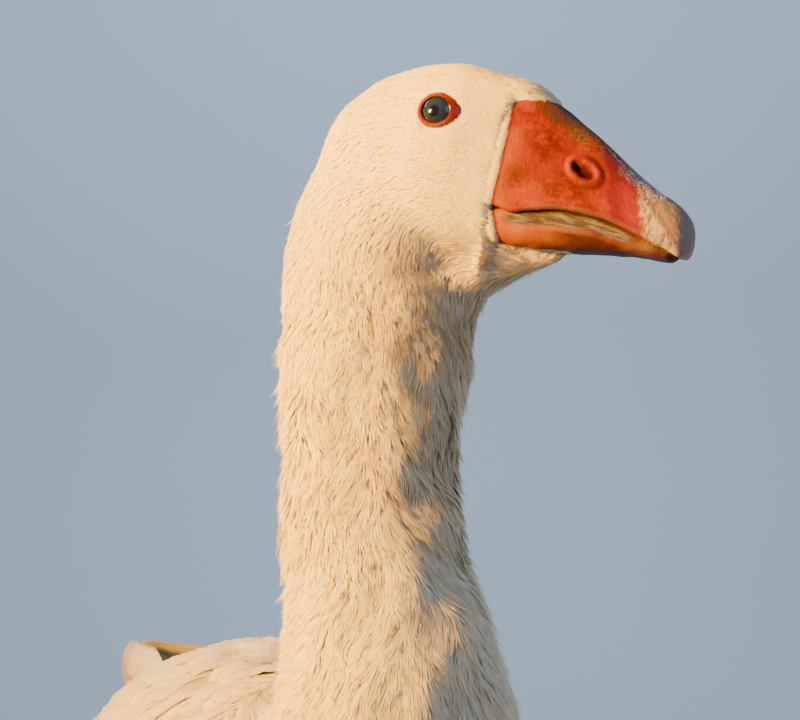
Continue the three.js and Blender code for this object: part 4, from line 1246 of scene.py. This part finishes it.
# Painted shade: the ridge near the brow is browned where its top turns from the light. It is also flecked
# with gold.
to_ridge = z + x * 0.51 - 34.1
horn.over((to_ridge + fine * 7).step(-2.5, 2.0) * x.step(64, 54) * x.step(33, 41) * 0.8, RIDGE_SHADE)
fleck = (to_ridge + fine * 6).step(-1.5, 0.5) * grit.step(0.50, 0.60) * x.step(70, 66) * x.step(50, 56)
horn.over(fleck * 0.85, paint(140, 112, 40))
# Pink, waxy skin spreads from the nostril's rim to the nail. The groove behind the rim is painted dark red,
# as shade.
front = (x + z * 0.35 + fine * 5).step(66, 76)
horn.over(front * 0.85, ROSE)
slanted = x + z * 0.4 + fine * 5
horn.over(slanted.step(69.5, 72.5) * slanted.step(79, 74) * 0.6, paint(84, 22, 22))
# Painted shade in the groove round the nostril's rim.
horn.over(horn.said("groove") * 0.85, paint(78, 20, 22))
horn.over(horn.said("rim") * (0.5 + fine * 0.5), MAUVE)
# Dry, pale flakes make a crescent behind the nail, over a grey worn patch on the ridge.
leaned = x + (z + 17) * 0.4
streaky = horn.mottle(0.6, 4.0, 0.6, scaled(horn, place, (1.0, 0.6, 0.35)))
nail_edge = x + (z + 16.5).least(0.0) - (z + 16.5).most(0.0) * 1.4
flake_zone = (leaned + fine * 9 + grit * 2).step(91, 97) * (nail_edge + fine * 3).step(95.5, 91)
worn = (x + fine * 6).step(77, 83) * (to_ridge + fine * 4).step(-1.5, 0.5)
horn.over(worn * 0.8, horn.mix(grit.step(0.4, 0.65), paint(84, 62, 84), paint(160, 150, 166)))
flakes = flake_zone * (streaky + grit * 0.25).step(0.46, 0.66)
horn.over(flake_zone * 0.5, paint(150, 112, 120))
horn.over(flakes * 0.9, CREAM)
nail = (nail_edge + fine * 3).step(92, 95)
nail_colour = horn.mix((x + fine * 6 + z * 0.1).step(103, 108.5), TAN, SLATE)
nail_colour = horn.mix((z + fine * 4).step(-27, -32) * 0.6, nail_colour, paint(176, 134, 84))
nail_colour = horn.mix(grit.step(0.55, 0.75) * 0.35, nail_colour, paint(124, 88, 66))
horn.over(nail, nail_colour)
# The cutting edge is pale and worn over a dirty line. The nostril's inside is painted dark red, as the shade
# within the slit.
edge_height = horn.said("edge")
lip = (edge_height + fine * 2).step(4.6, 3.0) * x.step(40, 48) * x.step(100, 90)
horn.over(lip * 0.6, paint(116, 66, 76))
smear = (edge_height + fine * 3).step(4.4, 2.2) * (fine + grit * 0.4).step(0.46, 0.72)
smear = smear * x.step(38, 46) * x.step(90, 74)
horn.over(smear * 0.9, DIRT)
horn.over((edge_height + fine).step(1.7, 0.9) * x.step(36, 44) * x.step(92, 80) * 0.8, paint(52, 34, 26))
horn.over(horn.said("margin") * (fine + 0.3).step(0.4, 0.8), EDGE_RED)
# Painted shade inside the nostril.
inside = horn.said("inside")
horn.over(inside, DARK_RED)
horn.over(grit.step(0.6, 0.78) * 0.25, paint(88, 30, 16))
# Under the cheek's feathers the skin is as pale as they are.
hidden = horn.said("hidden")
horn.over(hidden, UNDER_DOWN)
horn.done((0.36 + fine * 0.2 + flakes * 0.35 + smear * 0.25 + nail * 0.1 + inside * 0.5).least(0.95),
          front * 0.45 * (1 - flakes) * (1 - inside) * (1 - nail * 0.6) * (1 - hidden))
horn.relief(fine * 0.6 + grit * 0.5 + flakes * 0.9, 0.0006, 0.8)

x, y, z = upper.T
on_groove = np.where(on_side, bump(rim, 1.28, 0.20), 0) * blend(x, 58, 68)
piece("bill_upper_horn", from_head(upper), upper_faces, horn, "bill", ["bill_upper", "bill_nail"],
      place=upper, edge=above_edge, inside=np.where(on_side, 1 - blend(oval, 0.75, 1.05), 0),
      hidden=blend(past_cheek(x, z), 0.1, -0.5), rim=np.where(on_side, on_rim, 0), groove=on_groove,
      margin=bump(past_cheek(x, z), 0.5, 0.55) * blend(z, 15, 12))

# The lower bill is a shallow trough of the same skin. Its pale, smeared lip fits inside the upper
# bill's edge, and its tip ends under the nail.
LOWER_BILL = [
    (22, -30.6, -46.4, 14.2), (33, -31.2, -46.4, 15.2), (45, -29.4, -44.6, 15.2),
    (58, -26.4, -42.7, 14.8), (72, -25.8, -40.2, 13.8), (85, -27.8, -38.0, 12.4),
    (93, -30.0, -37.2, 10.8), (99, -31.4, -37.0, 8.2), (103.4, -32.8, -36.4, 5.0),
    (106, -34.4, -34.4, 0.0),
]
lower, lower_faces, lower_out = horn_form(LOWER_BILL, trough, *LOWER_MESH)
x, y, z = lower.T
below_lip = np.interp(x, [r[0] for r in LOWER_BILL], [r[1] for r in LOWER_BILL]) - z
outer = blend(np.abs(y), 5, 9)
push = 0.45 * bump(below_lip, 2.4, 1.6) * outer - 0.5 * bump(below_lip, 6.3, 1.2) * outer
push += 1.3 * blend(past_cheek(x, z), 0.5, -1.2) * blend(z, -46, -43)
push += 0.12 * waves(lower * MILLI, 8, 31) + 0.03 * waves(lower * MILLI, 1.3, 32)
lower = lower + lower_out * push[:, None]

chin, place, x = waxy("lower_bill_skin")
broad = chin.mottle(0.09, 2.0, 0.5, place)
fine = chin.mottle(0.5, 4.0, 0.6, place)
grit = chin.mottle(1.7, 3.0, 0.6, place)
under = chin.said("edge")
chin.shade = chin.mix((x + broad * 30).step(58, 82), paint(142, 78, 0), paint(70, 34, 34))
chin.over((x + under * 0.8 + fine * 6).step(92, 99), paint(120, 96, 60))
chin.over((x + under * 2.4 + fine * 5).step(104, 112), paint(76, 46, 48))
# The lip is a broad pale band with brown smears, over a thin pink line.
streaks = chin.mottle(0.55, 4.0, 0.6, scaled(chin, place, (0.25, 1.0, 1.6)))
depth_of = under + (x - 60).away() * 0.045 + fine * 1.4
band = depth_of.step(8.2, 7.0) * (x + fine * 3).step(36, 41) * x.step(92, 82)
pink = depth_of.step(10.4, 8.6) * (x + fine * 3).step(38, 46) * x.step(104, 96)
chin.over(pink * (x.step(76, 60) * 0.5 + 0.3), paint(132, 78, 86))
smear = (streaks + grit * 0.2 + x.step(44, 52) * x.step(74, 64) * 0.1).step(0.58, 0.72)
band_colour = chin.mix(streaks.step(0.40, 0.62), paint(104, 104, 150), paint(78, 74, 108))
band_colour = chin.mix(smear * 0.75, band_colour, paint(70, 58, 60))
band_colour = chin.mix(under.step(2.6, 1.2) * 0.85, band_colour, paint(52, 34, 24))
chin.over(band, band_colour)
chin.over(chin.said("margin") * (fine + 0.3).step(0.4, 0.8), EDGE_RED)
chin.over(grit.step(0.62, 0.8) * 0.25, paint(84, 32, 20))
chin.over(chin.said("hidden"), UNDER_DOWN)
chin.done(0.40 + fine * 0.3)
chin.relief(fine * 0.6 + grit * 0.6, 0.0005, 0.7)
ahead_of_cheek = past_cheek(lower[:, 0], lower[:, 2])
piece("bill_lower_horn", from_head(lower), lower_faces, chin, "bill", ["bill_lower"],
      place=lower, edge=below_lip, hidden=blend(ahead_of_cheek, 0.1, -0.5),
      margin=bump(ahead_of_cheek, 0.5, 0.55))

# ---- Feathers that run onto the bill -----------------------------------------------------------
# The smallest feathers edge the bill. A wedge of them lies over the ridge at the brow, and the
# chin's run forward between the two arms of the lower bill.
BROW_LINE = ([27.3, 33.0, 37.8, 43.8, 44.2], [13.0, 14.2, 15.2, 15.8, 99.0])
CHIN_TIP = 64.0
FIRST_EDGE = 24.0
RIDE = 0.004


def in_brow(x, y, z):
    """How far inside the feathers' edge a place on the upper bill is."""
    return np.maximum(z - np.interp(x, *BROW_LINE), np.minimum(-past_cheek(x, z), z + 31.5))


def in_chin(x, y, z):
    """The same on the lower bill, whose wedge narrows to the chin's tip."""
    wedge = np.minimum(CHIN_TIP - x, 9.5 - (x - 36) * 0.12 - np.abs(y))
    wedge = np.minimum(wedge, -42.6 + (x - 36) * 0.09 - z)
    return np.maximum(np.minimum(-past_cheek(x, z), -33 - z), wedge)


def edge_feathers(points, faces, inside_by, heights, sizes, lifts):
    """Tufts over the part of a horn where inside_by is positive.

    Their lengths and lifts go from one value to the other between two heights.
    """
    bed = Bed(points, faces, normals_of(points, faces))
    at = in_head(bed.middle)
    inside = np.where(at[:, 0] > FIRST_EDGE, inside_by(*at.T), -1)
    place, normal = bed.strewn(np.interp(inside, [0, 1, 2.5], [0.40, 0.55, 0.9]), inside > 0)
    height = in_head(place)[:, 2]
    reach, way = on_line(place)
    way = turned(way, normal, draw.normal(0, 0.12, len(place)))
    length = np.interp(height, heights, sizes)
    length *= np.interp(inside_by(*in_head(place).T), [0, 2], [0.55, 1.0])
    length *= draw.uniform(0.8, 1.2, len(place))
    spots, ups = bed.paths(place, normal, way, length)
    # The tips ride up over the skin where it meets the horn.
    over = np.zeros(spots.shape[:2])
    for seat in np.ndindex(over.shape):
        spot_at, up = Vector(spots[seat]), Vector(ups[seat])
        hit = skin_tree.ray_cast(spot_at + up * RIDE, -up, RIDE)
        over[seat] = RIDE - hit[3] if hit[0] else 0.0
    rise = np.interp(height, heights, lifts) * draw.uniform(0.6, 1.2, len(place))
    path = (spots + ups * over[:, :, None], ups)
    made = grown(path, length * 0.34, rise, face_tufts, place, 0.05, 0.6)
    made["grey"] = np.maximum(made["grey"], 0.3 * blend(in_head(made["points"])[:, 2], 9, 5))
    return made


lot = joined([
    edge_feathers(from_head(upper), upper_faces, in_brow, (8, 14), (2.8, 5.2), (0.15, 1.5)),
    edge_feathers(from_head(lower), lower_faces, in_chin, (-46, -42), (5.6, 2.8), (1.4, 0.15)),
])
piece("bill_edge_feathers", finish=down, slot="plumage", **lot)

# ---- Eyes --------------------------------------------------------------------------------------
# A wet, slate-coloured eye with a round dark pupil, set in a ring of bare orange skin that draws
# out to a red corner in front.
BALL_RINGS, BALL_AROUND = 60, 64
RING_ROWS, RING_AROUND = 22, 120
SKIN_SEEN_FROM = 14.0
eye = Finish("eyeball", Roughness=0.12, Specular_IOR_Level=0.6, Coat_Weight=1.0, Coat_Roughness=0.02,
             Coat_IOR=1.45)
out_angle = eye.said("gaze")
streak = eye.mottle(0.9, 3.0, 0.6, eye.said("place", "Vector"))
eye.shade = eye.mix(out_angle.step(13.5, 16.5), paint(6, 8, 16), paint(29, 44, 84))
eye.over(streak.step(0.4, 0.75) * out_angle.step(16, 22) * 0.5, paint(38, 58, 104))
eye.over(out_angle.step(36, 41), paint(30, 18, 18))
eye.done()

ring_skin = Finish("eye_ring_skin", Roughness=0.45, Specular_IOR_Level=0.12, Coat_Roughness=0.1)
out_by, front_by = ring_skin.said("out"), ring_skin.said("corner")
wrinkle = ring_skin.mottle(1.6, 3.0, 0.6, ring_skin.said("place", "Vector"))
ridged = (out_by + wrinkle * 0.2).step(0.24, 0.44)
ring_skin.shade = ring_skin.mix(ridged, paint(44, 9, 4), paint(130, 54, 0))
ring_skin.over((out_by + wrinkle * 0.3).step(0.86, 1.1), paint(140, 74, 6))
ring_skin.over(front_by * (wrinkle + 0.2).step(0.3, 0.8), paint(104, 14, 12))
ring_skin.done(0.42 - 0.3 * front_by, (front_by * 0.8 + out_by.step(0.25, 0.1) * 0.4).least(1.0))
ring_skin.relief(wrinkle, 0.0004, 0.7)


def eyeball(name, sign, seat):
    """A ball that knows, at each point, how far off its own gaze the point is, in degrees."""
    tilt = np.linspace(0, math.pi, BALL_RINGS)[:, None]
    spin = np.linspace(0, 2 * math.pi, BALL_AROUND, endpoint=False)[None, :]
    bulge = EYE_RADIUS * (1 + 0.02 * bump(tilt, 0, 0.5))
    local = np.stack([
        bulge * np.sin(tilt) * np.cos(spin),
        sign * bulge * np.cos(tilt) * np.ones_like(spin),
        bulge * np.sin(tilt) * np.sin(spin),
    ], -1).reshape(-1, 3)
    gaze = np.degrees(np.broadcast_to(tilt, (BALL_RINGS, BALL_AROUND))).ravel()
    faces = ring_faces(BALL_RINGS, BALL_AROUND)[:, ::sign]
    piece("eyeball_" + name, from_head(local + seat), faces, eye, "eye", ["eye_" + name],
          gaze=gaze, place=local)


def eye_ring(name, sign, seat):
    """A fleshy ring from under the lid's inner edge, over its crest, to the skin outside."""
    spin = np.linspace(0, 2 * math.pi, RING_AROUND, endpoint=False)
    share = np.linspace(0, 1, RING_ROWS)[:, None]
    corner_of = np.exp(-(np.angle(np.exp(1j * (spin - EYE_CORNER[0]))) / EYE_CORNER[1]) ** 2)
    inner = 5.35 + 0.26 * np.cos(2 * spin)
    outer = 7.9 + 0.1 * np.sin(spin) + 2.45 * corner_of
    outer = outer + 0.10 * np.sin(9 * spin) + 0.07 * np.sin(17 * spin + 1)
    radius = inner + (outer - inner) * share
    x, z = radius * np.cos(spin), radius * np.sin(spin)
    rim = outer + 1.6
    seen_from = np.full(RING_AROUND, sign * SKIN_SEEN_FROM)
    roots = np.stack([rim * np.cos(spin), seen_from, rim * np.sin(spin)], -1)
    roots = from_head(roots + np.array([seat[0], 0, seat[2] + RING_UP]))
    found = [skin_tree.ray_cast(Vector(r), Vector(head_axes[1] * sign)) for r in roots]
    skin_y = np.array([abs(in_head(np.array([f[0]]))[0, 1]) for f in found])
    from_ball = np.hypot(inner * np.cos(spin), inner * np.sin(spin) + RING_UP)
    ball_y = abs(seat[1]) + np.sqrt(np.maximum(EYE_RADIUS ** 2 - from_ball ** 2, 9)) + 0.05
    height = ball_y * (1 - share) + (skin_y + 0.7) * share + 0.5 * np.sin(share ** 0.8 * math.pi)
    height = height - 1.5 * blend(share, 0.86, 1.0) - 0.3 * blend(share, 0.12, 0.0)
    local = np.stack([x + seat[0], sign * height, z + seat[2] + RING_UP], -1).reshape(-1, 3)
    faces = ring_faces(RING_ROWS, RING_AROUND)[:, ::sign]
    piece("eye_ring_" + name, from_head(local), faces, ring_skin, "bill",
          out=np.broadcast_to(share, x.shape).ravel(), place=local,
          corner=(np.broadcast_to(corner_of, x.shape) * blend(share, 1.0, 0.75)).ravel())


for name, sign in SIDES:
    seat = in_head(np.array([middle("eye_" + name)]))[0]
    eyeball(name, sign, seat)
    eye_ring(name, sign, seat)

# ---- Light and floor ---------------------------------------------------------------------------
# A plain pale floor runs up into a plain wall. One warm lamp stands low on the bird's right, and a
# wide cool one fills the other side. A third lights the wall.
FLOOR_TONE = (176, 184, 194)
SKY = (0.72, 0.80, 0.94, 1)
SKY_STRENGTH = 0.33
UP = Vector((0, 0, 1))
AIM_BELOW_EYES = 0.06
KEY_OFF = 2.2
FILL_OFF = 2.4
BEND_STEPS = 24
FLOOR_FRONT, FLOOR_BACK, FLOOR_HALF = 6.0, -1.6, 7.0
BEND = 0.8
floor_finish = Finish("studio_floor", Roughness=0.9, Specular_IOR_Level=0.1)
paler = paint(*(c + 8 for c in FLOOR_TONE))
floor_finish.shade = floor_finish.mix(floor_finish.mottle(0.8, 2.0), paint(*FLOOR_TONE), paler)
floor_finish.done()
profile = [(FLOOR_FRONT, 0.0), (FLOOR_BACK, 0.0)]
for bent in np.linspace(0, math.pi / 2, BEND_STEPS)[1:]:
    profile.append((FLOOR_BACK - BEND * math.sin(bent), BEND - BEND * math.cos(bent)))
profile.append((FLOOR_BACK - BEND, FLOOR_FRONT))
floor_rows = []
for along_x, height in profile:
    for across_y in (-FLOOR_HALF, FLOOR_HALF):
        floor_rows.append((
            along_x * math.cos(LENS_HEADING) + across_y * math.sin(LENS_HEADING),
            -along_x * math.sin(LENS_HEADING) + across_y * math.cos(LENS_HEADING),
            height,
        ))
strips = [(2 * i, 2 * i + 1, 2 * i + 3, 2 * i + 2) for i in range(len(profile) - 1)]
floor_mesh = bpy.data.meshes.new("floor")
floor_mesh.from_pydata(floor_rows, [], strips)
floor_mesh.polygons.foreach_set("use_smooth", np.full(len(floor_mesh.polygons), True))
floor_mesh.materials.append(floor_finish.material)
placed("floor", floor_mesh)

world = bpy.data.worlds.new("studio")
world.use_nodes = True
world.node_tree.nodes["Background"].inputs["Color"].default_value = SKY
world.node_tree.nodes["Background"].inputs["Strength"].default_value = SKY_STRENGTH
bpy.context.scene.world = world


def lamp(name, place, towards, size, power_of, colour, spread=math.pi):
    """An area lamp: a disk, or an oblong where the size is two lengths."""
    light = bpy.data.lights.new(name, "AREA")
    light.shape = "RECTANGLE" if isinstance(size, tuple) else "DISK"
    if isinstance(size, tuple):
        light.size, light.size_y = size
    else:
        light.size = size
    light.spread = spread
    light.energy = power_of
    light.color = colour
    made = placed(name, light)
    made.location = place
    made.rotation_mode = "QUATERNION"
    made.rotation_quaternion = towards.to_track_quat("-Z", "Y")


head_at = Vector(head_middle)
aim = head_at - AIM_BELOW_EYES * UP
key_from = (-0.86 * across - 0.45 * ahead + 0.24 * UP).normalized() * KEY_OFF
fill_from = (0.75 * across - 0.6 * ahead + 0.35 * UP).normalized() * FILL_OFF
# Name, place, way it faces, size in metres, power in watts, colour and spread.
for row in (
    ("warm_key", aim + key_from, 0.12 * UP - key_from, 0.42, 19.7, (1.0, 0.45, 0.015), math.radians(40)),
    ("cool_fill", aim + fill_from, -fill_from, 1.8, 7.0, (0.80, 0.88, 1.0)),
    ("wall_wash", head_at + 0.7 * ahead + 1.3 * UP, ahead - 0.75 * UP, (3.0, 1.0), 60.0, (0.72, 0.86, 1.0)),
):
    lamp(*row)
